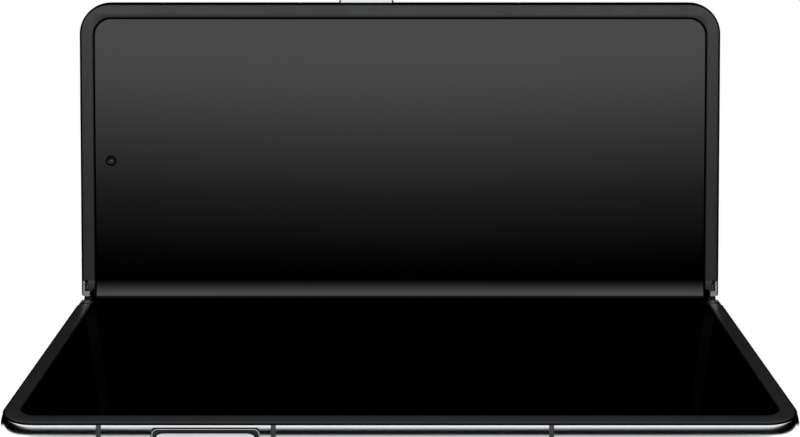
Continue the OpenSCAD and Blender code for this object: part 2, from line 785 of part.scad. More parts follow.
module sim_reader() color(steel) on_lower() difference() {
  layer(tray_z - tray_t / 2 - 0.6, web_back)
    translate([tray_inner - reader_wall, tray_y - tray_body_w / 2 - reader_wall])
      square([half_length - tray_face_t - 0.5 - tray_inner + reader_wall, tray_body_w + 2 * reader_wall]);
  translate([tray_inner - key_gap, tray_y - tray_body_w / 2 - key_gap, tray_z - tray_t / 2 - key_gap])
    cube([2 * card_length, tray_body_w + 2 * key_gap, tray_t + 2 * key_gap]);
}

module sim_tray() color(metal) on_lower() difference() {
  union() {
    along_x(half_length - tray_face_t, half_length) translate([tray_y, tray_z])
      stadium(tray_length, tray_height);
    translate([tray_inner, tray_y - tray_body_w / 2, tray_z - tray_t / 2])
      cube([half_length - tray_inner - tray_face_t + 0.2, tray_body_w, tray_t]);
  }
  translate([card_x, tray_y, tray_z - tray_t / 2 + 0.4]) linear_extrude(tray_t)
    square([card_length + 2 * seat_gap, card_width + 2 * seat_gap], center = true);
  translate([half_length - tray_face_t - over, tray_y + eject_y, tray_z]) rotate([0, 90, 0])
    cylinder(r = eject_r, h = tray_face_t + 2 * over);
}

module sim_card() color(brass) on_lower() translate([card_x, tray_y, tray_z - tray_t / 2 + 0.4])
  linear_extrude(card_t) difference() {
    square([card_length, card_width], center = true);
    translate([card_length / 2, card_width / 2]) rotate(45) square(2.4, center = true);
  }

// Key in the outer wall: the cap, a neck through the wall and a flange behind it
module edge_key(x, length, height, rise, slack) {
  through_outer(x, rise, wall_t - 0.2, length, height);
  through_outer(x, 0, wall_t + slack + flange_t, length - over, key_neck_h);
  translate([0, -wall_t - slack, 0]) through_outer(x, 0, flange_t, length + 2 * flange_lap, key_neck_h);
}

// Switch on its strip, behind the flange of a key
module key_switch(x, gap, w) {
  y = half_width - wall_t - gap;
  translate([x - w / 2, y - switch_t - strip_t, key_z - key_neck_h / 2])
    cube([w, strip_t, web_back - key_z + key_neck_h / 2]);
  translate([x, y, key_z]) rotate([90, 0, 0]) cylinder(r = 0.8, h = switch_t);
}

module volume_key() color(metal) on_lower()
  edge_key(volume_x, volume_length, volume_height, volume_rise, volume_slack);

module power_key() color(polished) on_upper()
  edge_key(power_x, power_length, power_height, power_rise, run_gap);

module volume_switches() color(brass) on_lower()
  for (s = [-1, 1])
    key_switch(volume_x + s * volume_length / 4, volume_slack + flange_t + 0.2, volume_switch_l);

module power_switch() color(brass) on_upper()
  key_switch(power_x, run_gap + flange_t + power_travel + 0.02, power_switch_l);

// Camera island on the back of the upper half, with its three lenses and a lamp
module lens_places() for (p = lens_at)
  translate([island_lens_x + p[0] * lens_pitch, island_lens_y + p[1] * lens_pitch]) children();

module camera_island() color(dark_metal) on_upper() difference() {
  layer(glass_back - island_rise, glass_back) translate([island_x, island_y])
    rounded_rect(island_side, island_side, island_r);
  layer(glass_back - 3 * island_rise, glass_back + over) lens_places() circle(lens_ring_r + seat_gap);
  layer(glass_back - 3 * island_rise, glass_back + over) flash_place() circle(flash_r + seat_gap);
}

module flash_place() translate([island_lens_x + lens_pitch, island_lens_y]) children();

module rear_camera(i, lens_r) color(black_plastic) on_upper()
  translate([island_lens_x + lens_at[i][0] * lens_pitch, island_lens_y + lens_at[i][1] * lens_pitch, 0])
    camera_unit(rear_camera_side, rear_camera_t, lens_ring_r, ring_front, lens_r, cover_glass_t + 0.5);

module main_camera() rear_camera(0, lens_cover_r);
module wide_camera() rear_camera(1, lens_cover_r);
module tele_camera() rear_camera(2, lens_cover_r);

module lens_covers() color(glass_grey) on_upper()
  layer(ring_front + 0.1, ring_front + 0.1 + cover_glass_t) lens_places() circle(lens_cover_r - 0.03);

module flash_lens() color(polished) on_upper() {
  layer(glass_back - island_rise + 0.05, glass_back + 0.2) flash_place() circle(flash_r);
  layer(glass_back + 0.2, web_back) flash_place() square(2.6, center = true);
}

module usb_c_port() color(steel) on_upper() translate([0, port_y, port_z]) {
  x_front = half_length - 0.6;
  difference() {
    along_x(x_front - port_depth, x_front)
      stadium(port_width + 2 * port_wall, port_height + 2 * port_wall);
    along_x(x_front - port_depth + 0.6, x_front + over) stadium(port_width, port_height);
  }
  along_x(x_front - port_depth + 0.3, x_front - 1.4) square([port_tongue_w, port_tongue_t], center = true);
}

module charging_coil() color(copper) on_upper()
  layer(glass_front, glass_front + coil_t) translate([coil_x, bay_y + battery_w / 2]) difference() {
    circle(coil_r);
    circle(coil_in);
  }

module vibration_motor() color(steel) on_upper()
  pack(motor_x, motor_y, motor_l, motor_w, motor_t, 1.5);

// Curved rail on a half, with its arm and the foot that is screwed under the web
module rail_arm() {
  translate([axis_y, axis_z]) ring_slice(rail_in, rail_out, rail_from, rail_to);
  in_end = rail_point(rail_in, rail_to);
  out_end = rail_point(rail_out - rail_bite, rail_to - 5);
  polygon(concat([rail_point(rail_in + 2 * rail_bite, rail_to - 5),
    rail_point(rail_in + rail_bite, rail_to - 1), [in_end[0] + 0.15, arm_top]],
    foot_points, [[out_end[0] + 0.2, arm_bottom], out_end]));
}

// Section of an arm from its upper edge over the web, its foot and back to its lower edge
foot_points = [[bay_wall_y - 0.7, arm_top], [bay_wall_y - 0.15, web_back], [foot_end, web_back],
  [foot_end, web_back - foot_t], [bay_wall_y + 0.3, web_back - foot_t], [bay_wall_y, arm_bottom]];

function rail_point(r, a) = [axis_y + r * cos(a), axis_z + r * sin(a)];

module rotors(side) difference() {
  for (x = rail_xs(side)) along_x(x - rail_w / 2, x + rail_w / 2) rail_arm();
  for (x = rail_xs(side)) foot_hole(x);
}

module foot_hole(x) translate([x, foot_screw_y, web_back - 2 * foot_t])
  cylinder(r = screw_r + screw_gap, h = 3 * foot_t);

module lower_rotors() color(steel) on_lower() rotors(1);
module upper_rotors() color(steel) on_upper() rotors(-1);

// Tooth pointing away from the centre at an angle, for a wheel of pitch radius r
module tooth(r, angle) rotate(angle)
  polygon([[r - root_drop - 0.08, -tooth_foot], [r + tip_rise, -tooth_tip],
    [r + tip_rise, tooth_tip], [r - root_drop - 0.08, tooth_foot]]);

// Toothed sector on a half, with the arm and foot that carry it
module sync_arm(side, first_tooth) {
  from_tooth = ceil((sector_from + 4 - first_tooth) / sector_step);
  to_tooth = floor((sector_to - 3 - first_tooth) / sector_step);
  x = row_middle(side);
  difference() {
    union() {
      along_x(x - gear_w / 2, x + gear_w / 2) difference() {
        union() {
          translate([axis_y, axis_z]) {
            ring_slice(sector_in, sector_r - root_drop, sector_from, sector_to);
            for (k = [from_tooth:to_tooth]) tooth(sector_r, first_tooth + k * sector_step);
          }
          polygon(concat([rail_point(sector_in, sector_to - 6), [2 * axis_y + 0.2, arm_top]], foot_points,
            [[2 * bend_r + 1, arm_bottom], rail_point(sector_r - root_drop, sector_to - 2)]));
        }
        translate([gear_ys[3], gear_z]) circle(gear_r + tip_rise + 0.15);
        // The first tooth stays under the display
        translate([-5, -0.5]) square(5);
      }
      translate([-sync_foot_half, foot_start, web_back - foot_t])
        cube([2 * sync_foot_half, foot_end - foot_start, foot_t]);
    }
    for (s = [-row_foot, row_foot]) foot_hole(s);
  }
}

module lower_sync_arm() color(brass) on_lower() sync_arm(1, 180 - lower_tooth);
module upper_sync_arm() color(brass) on_upper() sync_arm(-1, mesh_angle);

module foot_screws(side) for (x = foot_screw_xs(side))
  screw_up(x, foot_screw_y, web_back - foot_t, foot_t + web_t - 0.15);

// Screw that points up from the face under its head
module screw_up(x, y, z, shank) translate([x, y, z]) {
  cylinder(r = screw_r, h = shank);
  translate([0, 0, -screw_head_t]) cylinder(r = screw_head_r, h = screw_head_t);
}

module lower_screws() color(dark_metal) on_lower() foot_screws(1);
module upper_screws() color(dark_metal) on_upper() foot_screws(-1);

// Spine: a trough round both axes, closed by a cap at each end
module trough(r) intersection() {
  twin_round(r);
  below(-spine_top);
}

module spine_cover() color(polished) on_spine() difference() {
  along_x(-cover_half, cover_half) difference() {
    trough(spine_r);
    twin_round(spine_r - spine_wall);
  }
  for (x = guide_screw_xs()) translate([x, 0, spine_floor - guide_bite])
    cylinder(r = screw_r + screw_gap, h = over + guide_bite);
  // Pockets for the teeth of the two outer gears
  for (y = [gear_ys[0], gear_ys[3]]) translate([-carrier_in, y, gear_z]) rotate([0, 90, 0])
    cylinder(r = gear_r + tip_rise + key_gap, h = 2 * carrier_in);
}

module spine_end_caps() color(black_plastic) on_spine()
  for (s = [0, 1]) mirror([s, 0, 0]) {
    along_x(cover_half, spine_half) {
      trough(spine_r);
      intersection() {
        twin_round(head_r);
        below(head_top);
      }
      translate([-head_half, -spine_top - 0.5]) square([2 * head_half, spine_top + 0.5 + head_top]);
    }
    along_x(cover_half + end_cap_t / 2, block_end)
      translate([-block_half, block_bottom]) square([2 * block_half, block_top - block_bottom]);
  }

// Inner body of the spine: low beside the hinge arms, high under the bend of the display
module spine_body() {
  intersection() {
    union() {
      twin_round(guide_r);
      translate([-axis_y, spine_floor]) square([2 * axis_y, over]);
    }
    union() {
      below(-spine_top - 0.1);
      translate([-ridge_half, -4]) square([2 * ridge_half, 4 + ridge_top]);
      translate([-shoulder_half, -4]) square([2 * shoulder_half, 4 + shoulder_top]);
    }
  }
}

function guide_screw_xs() = [for (x = guide_xs, s = [-1, 1]) x + s * guide_screw_x];

module rail_groove(side, x) along_x(x - rail_w / 2 - key_gap, x + rail_w / 2 + key_gap)
  mirror([side > 0 ? 1 : 0, 0]) translate([axis_y, axis_z])
    ring_slice(rail_in - run_gap, rail_out + run_gap, rail_from - 2, rail_to + 15);

module rail_guides() color(dark_metal) on_spine() difference() {
  for (x = guide_xs) along_x(x - guide_w / 2, x + guide_w / 2) spine_body();
  for (side = [-1, 1], x = rail_xs(side)) rail_groove(side, x);
  for (x = guide_screw_xs()) translate([x, 0, 0]) {
    translate([0, 0, spine_floor - over]) cylinder(r = screw_r + screw_gap, h = -spine_floor + over);
    translate([0, 0, guide_head_z]) cylinder(r = screw_head_r + seat_gap, h = 2 * over);
  }
}

module spine_screws() color(steel) on_spine() for (x = guide_screw_xs())
  translate([x, 0, guide_head_z]) mirror([0, 0, 1])
    screw_up(0, 0, 0, guide_head_z - spine_floor + guide_bite - 0.05);

module gear_carrier() color(dark_metal) on_spine() difference() {
  for (s = [0, 1]) mirror([s, 0, 0]) along_x(carrier_in, carrier_in + carrier_t) spine_body();
  for (y = gear_ys) translate([-carrier_in - 2 * carrier_t, y, gear_z]) rotate([0, 90, 0])
    cylinder(r = shaft_r + run_gap, h = 2 * (carrier_in + 2 * carrier_t));
}

// Small gear with its shaft; turn is its angle from the flat phone to the rest pose
module timing_gear(y, from, to, first_tooth, turn) color(brass) on_spine()
  translate([0, y, gear_z]) {
    along_x(from, to) rotate(first_tooth + turn) {
      circle(gear_r - root_drop);
      for (k = [0:gear_teeth - 1]) tooth(gear_r, k * gear_step);
    }
    translate([-carrier_in - carrier_t, 0, 0]) rotate([0, 90, 0])
      cylinder(r = shaft_r, h = 2 * (carrier_in + carrier_t));
  }

module timing_gear_1() timing_gear(gear_ys[0], -row_mid, row_far, tooth_1, gear_turn);
module timing_gear_2() timing_gear(gear_ys[1], -row_mid, row_mid, tooth_2, -gear_turn);
module timing_gear_3() timing_gear(gear_ys[2], -row_mid, row_mid, tooth_3, gear_turn);
module timing_gear_4() timing_gear(gear_ys[3], -row_far, row_mid, tooth_4, -gear_turn);

lower_frame();
lower_antenna_strips();
lower_hinge_caps();
lower_bezel();
lower_display();
lower_display_plate();
cover_glass();
cover_display();
cover_camera();
lower_battery();
lower_board();
lower_speaker();
earpiece_speaker();
sim_reader();
volume_switches();
lower_rotors();
lower_sync_arm();
lower_screws();
volume_key();
sim_tray();
sim_card();
spine_cover();
spine_end_caps();
rail_guides();
gear_carrier();
spine_screws();
display_fold();
timing_gear_1();
timing_gear_2();
timing_gear_3();
timing_gear_4();
upper_frame();
upper_antenna_strips();
upper_hinge_caps();
upper_bezel();
upper_display();
upper_display_plate();
inner_camera();
rear_glass();
camera_island();
main_camera();
wide_camera();
tele_camera();
lens_covers();
flash_lens();
main_board();
upper_battery();
usb_c_port();
upper_speaker();
charging_coil();
vibration_motor();
power_switch();
upper_rotors();
upper_sync_arm();
upper_screws();
power_key();
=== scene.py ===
# %% [markdown]
# # A folding phone, half open
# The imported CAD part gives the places, sizes and joints. This script builds the looks over it:
# rounded metal frames, glass, soft bezels and one display that bends at the fold.
# Every piece is drawn flat, in millimetres, as if the phone lay open, and then turned into place.

# %% Load the frame
import json
import math

import bmesh
import bpy
from mathutils import Matrix, Vector


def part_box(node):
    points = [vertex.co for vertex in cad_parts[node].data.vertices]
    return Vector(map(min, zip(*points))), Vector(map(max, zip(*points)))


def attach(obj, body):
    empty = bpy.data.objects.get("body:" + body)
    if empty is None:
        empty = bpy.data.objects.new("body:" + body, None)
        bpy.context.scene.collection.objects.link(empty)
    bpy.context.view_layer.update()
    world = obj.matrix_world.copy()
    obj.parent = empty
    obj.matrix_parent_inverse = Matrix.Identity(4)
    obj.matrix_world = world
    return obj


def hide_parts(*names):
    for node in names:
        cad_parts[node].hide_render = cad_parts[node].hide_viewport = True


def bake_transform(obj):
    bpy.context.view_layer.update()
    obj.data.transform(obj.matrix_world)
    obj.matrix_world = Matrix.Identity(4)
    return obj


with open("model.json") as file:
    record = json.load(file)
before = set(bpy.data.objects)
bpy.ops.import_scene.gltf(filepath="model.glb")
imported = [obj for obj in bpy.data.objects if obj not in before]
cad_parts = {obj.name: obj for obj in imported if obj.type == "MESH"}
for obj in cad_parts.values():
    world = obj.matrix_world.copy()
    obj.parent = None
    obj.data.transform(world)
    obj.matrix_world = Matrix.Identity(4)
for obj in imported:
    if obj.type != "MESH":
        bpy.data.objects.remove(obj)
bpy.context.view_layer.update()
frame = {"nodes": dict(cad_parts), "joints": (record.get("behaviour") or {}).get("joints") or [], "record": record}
joints = {j["name"]: j for j in frame["joints"]}

# %% [markdown]
# ## Sizes
# Most places come from the CAD nodes' boxes and from the joints. The two fold joints say where the
# hinge axes are and how far the halves have turned from flat, which is all that the placing needs.

# %% Sizes in millimetres
low, high = (v * 1000 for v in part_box("lower_frame"))
LENGTH = high.x - low.x
LOWER_AXIS = Vector(joints["lower_fold"]["pos_m"]) * 1000
UPPER_AXIS = Vector(joints["upper_fold"]["pos_m"]) * 1000
REST = math.radians(-joints["lower_fold"]["range_deg"][0])
AXIS_Y = (UPPER_AXIS - LOWER_AXIS).length / 2
WIDTH = 2 * (LOWER_AXIS.y + AXIS_Y)
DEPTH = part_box("lower_display")[1].z * 1000
AXIS_Z = LOWER_AXIS.z - DEPTH
HALF = LENGTH / 2
CORNER = 8
NEAR_EDGE = 0.15  # half the gap between the flat halves
RIM = 0.2  # height of the metal rim over the display
KEY_Z = (RIM - DEPTH) / 2
SEAT = 1.05  # wall of the frame outside the bezel and the outer glass
BEZEL_TOP = 0.6
BEZEL_END = 4.0
SIDE_BORDER, OUTER_BORDER, VIEW_R = 3.85, 4.1, 4.4
PANEL_LIP = 0.95  # how far the panel runs on under the bezel
PANEL_X, PANEL_Y, PANEL_R = HALF - SIDE_BORDER + PANEL_LIP, WIDTH - OUTER_BORDER + PANEL_LIP, VIEW_R + PANEL_LIP
WEB_BOTTOM, WEB_TOP = -1.6, -1.0
LEDGE_BOTTOM, LEDGE_TOP = -5.7, -5.3  # ledge that carries the outer glass
print(f"length {LENGTH:.2f}, width {WIDTH:.2f}, depth {DEPTH:.2f}, axis {AXIS_Y:.3f} {AXIS_Z:.3f}")
print(f"each half is turned {math.degrees(REST):.1f} degrees from flat")


# %% [markdown]
# The lower half, the spine and the upper half each have a matrix. It turns millimetres of the flat
# drawing into metres of the shared frame. The lower half is drawn as the upper one's mirror image.

# %% Placement
def turn(y, z, angle):
    pivot = Matrix.Translation((0, y, z))
    return pivot @ Matrix.Rotation(angle, 4, "X") @ pivot.inverted()


BASE = Matrix.Scale(0.001, 4) @ Matrix.Translation((0, WIDTH / 2, DEPTH))
ON_SPINE = BASE @ turn(-AXIS_Y, AXIS_Z, REST)
PLACE = {
    "lower": BASE @ Matrix.Scale(-1, 4, (0, 1, 0)),
    "spine": ON_SPINE,
    "upper": ON_SPINE @ turn(AXIS_Y, AXIS_Z, REST),
}
BODY = {"lower": "lower_half", "spine": "hinge_spine", "upper": "upper_half"}


def flat(node, half):
    """Lowest corner, highest corner and middle of a CAD node's box in its flat half."""
    mesh, back = frame["nodes"][node], PLACE[half].inverted()
    points = [back @ (mesh.matrix_world @ v.co) for v in mesh.data.vertices]
    corners = [Vector([pick(p[i] for p in points) for i in range(3)]) for pick in (min, max)]
    return *corners, (corners[0] + corners[1]) / 2


PUNCH = flat("inner_camera", "upper")[2].xy
COVER_CAM = flat("cover_camera", "lower")[2].xy
PORT = flat("usb_c_port", "upper")[2]
TRAY = flat("sim_tray", "lower")[2]
ISLAND = flat("camera_island", "upper")
strips = frame["nodes"]["upper_antenna_strips"].data.vertices
edges = sorted({round(v.co.x * 1000, 2) for v in strips})
STRIPS = [(a + b) / 2 for a, b in zip(edges[::2], edges[1::2])]
print("inner camera at", PUNCH, "strips at", STRIPS)

# %% [markdown]
# ## Camera
# The photo is taken from just above the phone, with a long lens and no roll.

# %% Camera
scene = bpy.context.scene
camera_data = bpy.data.cameras.new("camera")
camera_data.lens = 58.113
camera_data.clip_start = 0.01
camera = bpy.data.objects.new("camera", camera_data)
scene.collection.objects.link(camera)
camera.location = (0, -0.26384, 0.11304)
camera.rotation_euler = (math.radians(74.051), 0, 0)
scene.camera = camera
scene.view_settings.view_transform = "Standard"
print("camera at", tuple(camera.location), "lens", camera_data.lens)

# %% [markdown]
# ## Shader helper
# A Socket wraps one output of a node, so a pattern reads like ordinary sums.
# Shader holds one material and makes its nodes.

# %% Shader helper


class Socket:
    def __init__(self, shader, out):
        self.shader, self.out = shader, out

    def math(self, operation, *others):
        return self.shader.node("ShaderNodeMath", 0, list(zip(range(3), (self, *others))),
                                operation=operation)

    def __add__(self, other):
        return self.math("ADD", other)

    def __mul__(self, other):
        return self.math("MULTIPLY", other)

    __radd__, __rmul__ = __add__, __mul__

    def ramp(self, low_in, high_in, low_out=0.0, high_out=1.0):
        values = (self, low_in, high_in, low_out, high_out)
        return self.shader.node("ShaderNodeMapRange", 0, list(zip(range(5), values)),
                                interpolation_type="SMOOTHSTEP")

    def tint(self, color_a, color_b):
        """Colour that goes from a to b as this value goes from 0 to 1."""
        return self.shader.node("ShaderNodeMix", 2, [(0, self), (6, (*color_a, 1)), (7, (*color_b, 1))],
                                data_type="RGBA")


class Shader:
    def __init__(self, name, color=(0.5, 0.5, 0.5), roughness=0.5, metallic=0.0, ior=1.5, tree=None):
        if tree is None:
            self.material = bpy.data.materials.new(name)
            self.material.use_nodes = True
            tree = self.material.node_tree
            bsdf = tree.nodes["Principled BSDF"]
            bsdf.inputs["Base Color"].default_value = (*color, 1)
            bsdf.inputs["Roughness"].default_value = roughness
            bsdf.inputs["Metallic"].default_value = metallic
            bsdf.inputs["IOR"].default_value = ior
            self.bsdf = bsdf
        self.tree = tree

    def node(self, kind, out=0, inputs=(), **settings):
        made = self.tree.nodes.new(kind)
        for key, value in settings.items():
            setattr(made, key, value)
        for key, value in inputs:
            if isinstance(value, Socket):
                self.tree.links.new(value.out, made.inputs[key])
            else:
                made.inputs[key].default_value = value
        return Socket(self, made.outputs[out])

    def place(self, scale=(1000, 1000, 1000)):
        """Object coordinates in millimetres, stretched by scale / 1000."""
        there = self.node("ShaderNodeTexCoord", "Object")
        return self.node("ShaderNodeMapping", 0, [("Vector", there), ("Scale", scale)])

    def noise(self, scale=(1000, 1000, 1000), size=1.0, detail=2.0):
        return self.node("ShaderNodeTexNoise", 0,
                         [("Vector", self.place(scale)), ("Scale", 1 / size), ("Detail", detail)])

    def drive(self, **values):
        names = {"color": "Base Color", "roughness": "Roughness"}
        for key, value in values.items():
            self.tree.links.new(value.out, self.bsdf.inputs[names[key]])
        return self

    def bump(self, height, depth_mm, strength=1.0):
        normal = self.node("ShaderNodeBump", 0,
                           [("Height", height), ("Distance", depth_mm / 1000), ("Strength", strength)])
        self.tree.links.new(normal.out, self.bsdf.inputs["Normal"])
        return self


print("shader helper ready")

# %% [markdown]
# ## Materials
# Metals carry a faint grain along the hinge, plastics a fine moulded grain, and the glass stays
# almost perfectly smooth, because its look comes from what it mirrors.

# %% Materials
METALS = {
    "frame_metal": ((0.55, 0.56, 0.58), 0.12),
    "polished_cap": ((0.72, 0.73, 0.75), 0.25),
    "spine_metal": ((0.42, 0.43, 0.45), 0.22),
    "island_metal": ((0.09, 0.095, 0.105), 0.32),
    "steel": ((0.45, 0.46, 0.48), 0.32),
    "screw_steel": ((0.3, 0.3, 0.32), 0.3),
    "gear_brass": ((0.72, 0.58, 0.3), 0.3),
}
PLASTICS = {
    "antenna_plastic": ((0.05, 0.052, 0.055), 0.3),
    "bezel_plastic": ((0.031, 0.032, 0.035), 0.38),
    # gap_black: real black for the key seals, painted shade in the rocker's recess and at the spine ends.
    "gap_black": ((0.006, 0.006, 0.007), 0.6),
    "speaker_black": ((0.02, 0.02, 0.02), 0.45),
    "battery_foil": ((0.12, 0.12, 0.13), 0.5),
}
GLASSES = {
    "screen_black": ((0.0004, 0.0004, 0.0005), 0.03, 1.53),
    # Painted shade: the lower film is the same glass with a lower IOR, so it mirrors less and looks darker.
    "screen_lower": ((0.0004, 0.0004, 0.0005), 0.03, 1.06),
    # screen_edge barely reflects: painted shade on the panel's open strip and on the metal rim, plain black round
    # the inner camera.
    "screen_edge": ((0.0004, 0.0004, 0.0005), 0.5, 1.03),
    "cover_glass": ((0.008, 0.008, 0.011), 0.03, 1.52),
    "rear_glass": ((0.05, 0.055, 0.065), 0.34, 1.52),
    "camera_black": ((0.01, 0.01, 0.012), 0.2, 1.5),
}
look = {}
for name, (color, roughness) in METALS.items():
    s = look[name] = Shader(name, color, roughness, metallic=1)
    grain = s.noise(scale=(60, 1000, 1000), size=0.05, detail=3)
    s.drive(roughness=grain.ramp(0.3, 0.7, roughness * 0.85, roughness * 1.2))
    s.bump(grain, 0.004, 0.15)
for name, (color, roughness) in PLASTICS.items():
    s = look[name] = Shader(name, color, roughness)
    grain = s.noise(size=0.12, detail=3)
    s.drive(roughness=s.noise(size=6).ramp(0.3, 0.7, roughness * 0.92, roughness * 1.1))
    s.bump(grain, 0.01, 0.2)
for name, (color, roughness, ior) in GLASSES.items():
    s = look[name] = Shader(name, color, roughness, ior=ior)
    s.drive(roughness=s.noise(size=9, detail=4).ramp(0.35, 0.8, roughness, roughness * 1.5 + 0.01))
print(len(look), "plain materials")

# %% [markdown]
# A few inner parts have a pattern of their own: traces and tinned cans on the boards, and the
# turns of the flat charging coil.

# %% Patterned materials
s = look["board_green"] = Shader("board_green", (0.03, 0.14, 0.07), 0.45)
traces = s.noise(scale=(1000, 300, 1000), size=0.6, detail=4).ramp(0.5, 0.56)
s.drive(color=traces.tint((0.018, 0.1, 0.05), (0.05, 0.2, 0.1))).bump(traces, 0.02, 0.3)

s = look["coil_copper"] = Shader("coil_copper", (0.6, 0.28, 0.12), 0.35, metallic=1)
middle = sum((Vector(c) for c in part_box("charging_coil")), Vector()) * 500
offset = s.node("ShaderNodeVectorMath", 0, [(0, s.place()), (1, tuple(middle))], operation="SUBTRACT")
radius = s.node("ShaderNodeVectorMath", 1, [(0, offset)], operation="LENGTH")
turns = (radius * 8.0).math("SINE").ramp(-1, 1)
s.drive(color=turns.tint((0.2, 0.08, 0.04), (0.75, 0.36, 0.16))).bump(turns, 0.05, 0.5)

s = look["lens_glass"] = Shader("lens_glass", (0.02, 0.02, 0.03), 0.02, ior=1.6)
s.bsdf.inputs["Alpha"].default_value = 0.45
s = look["lens_coat"] = Shader("lens_coat", (0.01, 0.012, 0.02), 0.03, ior=1.9)
sheen = s.noise(size=1.5, detail=1).ramp(0.4, 0.6)
s.drive(color=sheen.tint((0.012, 0.01, 0.03), (0.008, 0.02, 0.024)))
s = look["flash_lens"] = Shader("flash_lens", (0.85, 0.8, 0.62), 0.3)
rings = (s.noise(size=0.5) * 6.0).math("SINE")
s.bump(rings, 0.03, 0.3)
print(len(look), "materials")

# %% [markdown]
# ## Stage
# The room is one soft light in front of the phone, and its brightness depends on the height above
# the horizon. It is dark low down, which the upright display mirrors as a fade to black near the
# fold, and dark at the sides, which keeps the outline of the metal dark. A weaker light stands high
# up behind, for the phone's back. The camera itself sees plain white. In mirrors the floor shows a
# painted reflection instead: it glows only close to the phone, like a white card lying in front of
# it and a dimmer one behind it, and is black elsewhere.

# %% Stage
world = bpy.data.worlds.new("room")
scene.world = world
world.use_nodes = True
s = Shader("room", tree=world.node_tree)
to_room = s.node("ShaderNodeTexCoord", "Generated")
aside, behind, height = (s.node("ShaderNodeSeparateXYZ", name, [(0, to_room)]) for name in "XYZ")
fade = s.node("ShaderNodeValToRGB", 0, [(0, height)])
ROOM = [(9.3, 0.0), (9.8, 0.009), (10.7, 0.039), (12.9, 0.166), (15.1, 0.44), (17.3, 0.775), (19.0, 1.0),
        (42, 1.0), (46, 0.12)]
stops = fade.out.node.color_ramp.elements
for i, (angle, value) in enumerate(ROOM):
    stop = stops[i] if i < 2 else stops.new(1)
    stop.position = math.sin(math.radians(angle))
    stop.color = (value, value, value, 1)
seen = s.node("ShaderNodeLightPath", "Is Camera Ray")
shade = behind.ramp(-0.2, 0.3, 1.0, 0.0) * aside.math("ABSOLUTE").ramp(0.85, 1.0, 1.0, 0.0)
rear = behind.ramp(0.1, 0.4, 0.0, 0.3) * height.ramp(0.64, 0.74) * height.ramp(0.88, 0.95, 1.0, 0.0)
white = s.node("ShaderNodeMix", 2, [(0, seen), (6, fade * shade + rear), (7, (1, 1, 1, 1))],
               data_type="RGBA")
ground = world.node_tree.nodes["Background"]
world.node_tree.links.new(white.out, ground.inputs["Color"])
power = seen.ramp(0, 1, 1.5, 1.0)
world.node_tree.links.new(power.out, ground.inputs["Strength"])

bm = bmesh.new()
bmesh.ops.create_grid(bm, x_segments=1, y_segments=1, size=6)
bmesh.ops.translate(bm, verts=bm.verts, vec=(0, 0, -0.00002))
mesh = bpy.data.meshes.new("floor")
bm.to_mesh(mesh)
bm.free()
floor = bpy.data.objects.new("floor", mesh)
scene.collection.objects.link(floor)
s = Shader("floor_white", (0.7, 0.7, 0.7), 0.9)
# Painted reflection: for glossy rays the floor glows like a white card near the phone and is black elsewhere.
glow, card, dark = (s.node("ShaderNodeEmission", 0, [("Color", (v, v, v, 1))]) for v in (1, 1, 0))
card.out.node.inputs["Strength"].default_value = 2.0


def mixed(factor, a, b):
    return s.node("ShaderNodeMixShader", 0, [(0, factor), (1, a), (2, b)])


on_floor = s.node("ShaderNodeTexCoord", "Object")
x, y = (s.node("ShaderNodeSeparateXYZ", name, [(0, on_floor)]) for name in "XY")
x = x.math("ABSOLUTE")
# Where the painted reflection card glows: close in front of the phone, and dimmer close behind it.
front = y.ramp(-0.1, -0.05) * 0.8 + y.ramp(-0.16, -0.09) * 0.2
front = front * y.ramp(-0.025, -0.02, 1.0, 0.0)
front = front * x.ramp(0.076, 0.083, 0.625, 1.0) * x.ramp(0.093, 0.106, 1.0, 0.0)
rear = y.ramp(0.04, 0.06) * y.ramp(0.25, 0.35, 0.3, 0.0) * x.ramp(0.06, 0.08, 1.0, 0.0)
seen = mixed(s.node("ShaderNodeLightPath", "Is Camera Ray"), Socket(s, s.bsdf.outputs[0]), glow)
top = mixed(s.node("ShaderNodeLightPath", "Is Glossy Ray"), seen, mixed(front + rear, dark, card))
s.tree.links.new(top.out, s.tree.nodes["Material Output"].inputs["Surface"])
mesh.materials.append(s.material)
print("room stops:", [(round(e.position, 3), round(e.color[0], 2)) for e in stops])

# %% [markdown]
# ## Modelling helpers
# A few short functions round corners, sweep sections, soften edges and cut one shape from another.
# put() turns a finished flat shape into its place and lets it ride with its half of the phone.

# %% Modelling helpers


def put(name, bm, where="upper", material="frame_metal", slot=None, body=None, stands_for=(),
        smooth=32, ride=True):
    bmesh.ops.remove_doubles(bm, verts=bm.verts, dist=1e-4)
    bm.transform(PLACE[where])
    bmesh.ops.recalc_face_normals(bm, faces=bm.faces)
    mesh = bpy.data.meshes.new(name)
    bm.to_mesh(mesh)
    bm.free()
    mesh.shade_smooth()
    mesh.set_sharp_from_angle(angle=math.radians(smooth))
    mesh.materials.append(look[material].material)
    obj = bpy.data.objects.new(name, mesh)
    scene.collection.objects.link(obj)
    if ride:
        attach(obj, body or BODY[where])
    if stands_for:
        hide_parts(*stands_for)
    slot or material in slots
    return obj


slots = {m["slot"] for m in frame["record"]["materials"]}


def plate(points, from_z, to_z, rounding=(), steps=10):
    """Flat shape between two heights. rounding lists (corner numbers, radius)."""
    bm = bmesh.new()
    corners = [bm.verts.new((x, y, from_z)) for x, y in points]
    bm.faces.new(corners)
    for numbers, r in rounding:
        bmesh.ops.bevel(bm, geom=[corners[i] for i in numbers], offset=r, segments=steps,
                        profile=0.5, affect="VERTICES", material=-1)
    return raised(bm, (0, 0, to_z - from_z))


def raised(bm, vector):
    """Extrudes the one face of a flat shape into a solid."""
    made = bmesh.ops.extrude_face_region(bm, geom=bm.faces[:])["geom"]
    bmesh.ops.translate(bm, verts=[v for v in made if isinstance(v, bmesh.types.BMVert)], vec=vector)
    bmesh.ops.recalc_face_normals(bm, faces=bm.faces)
    return bm


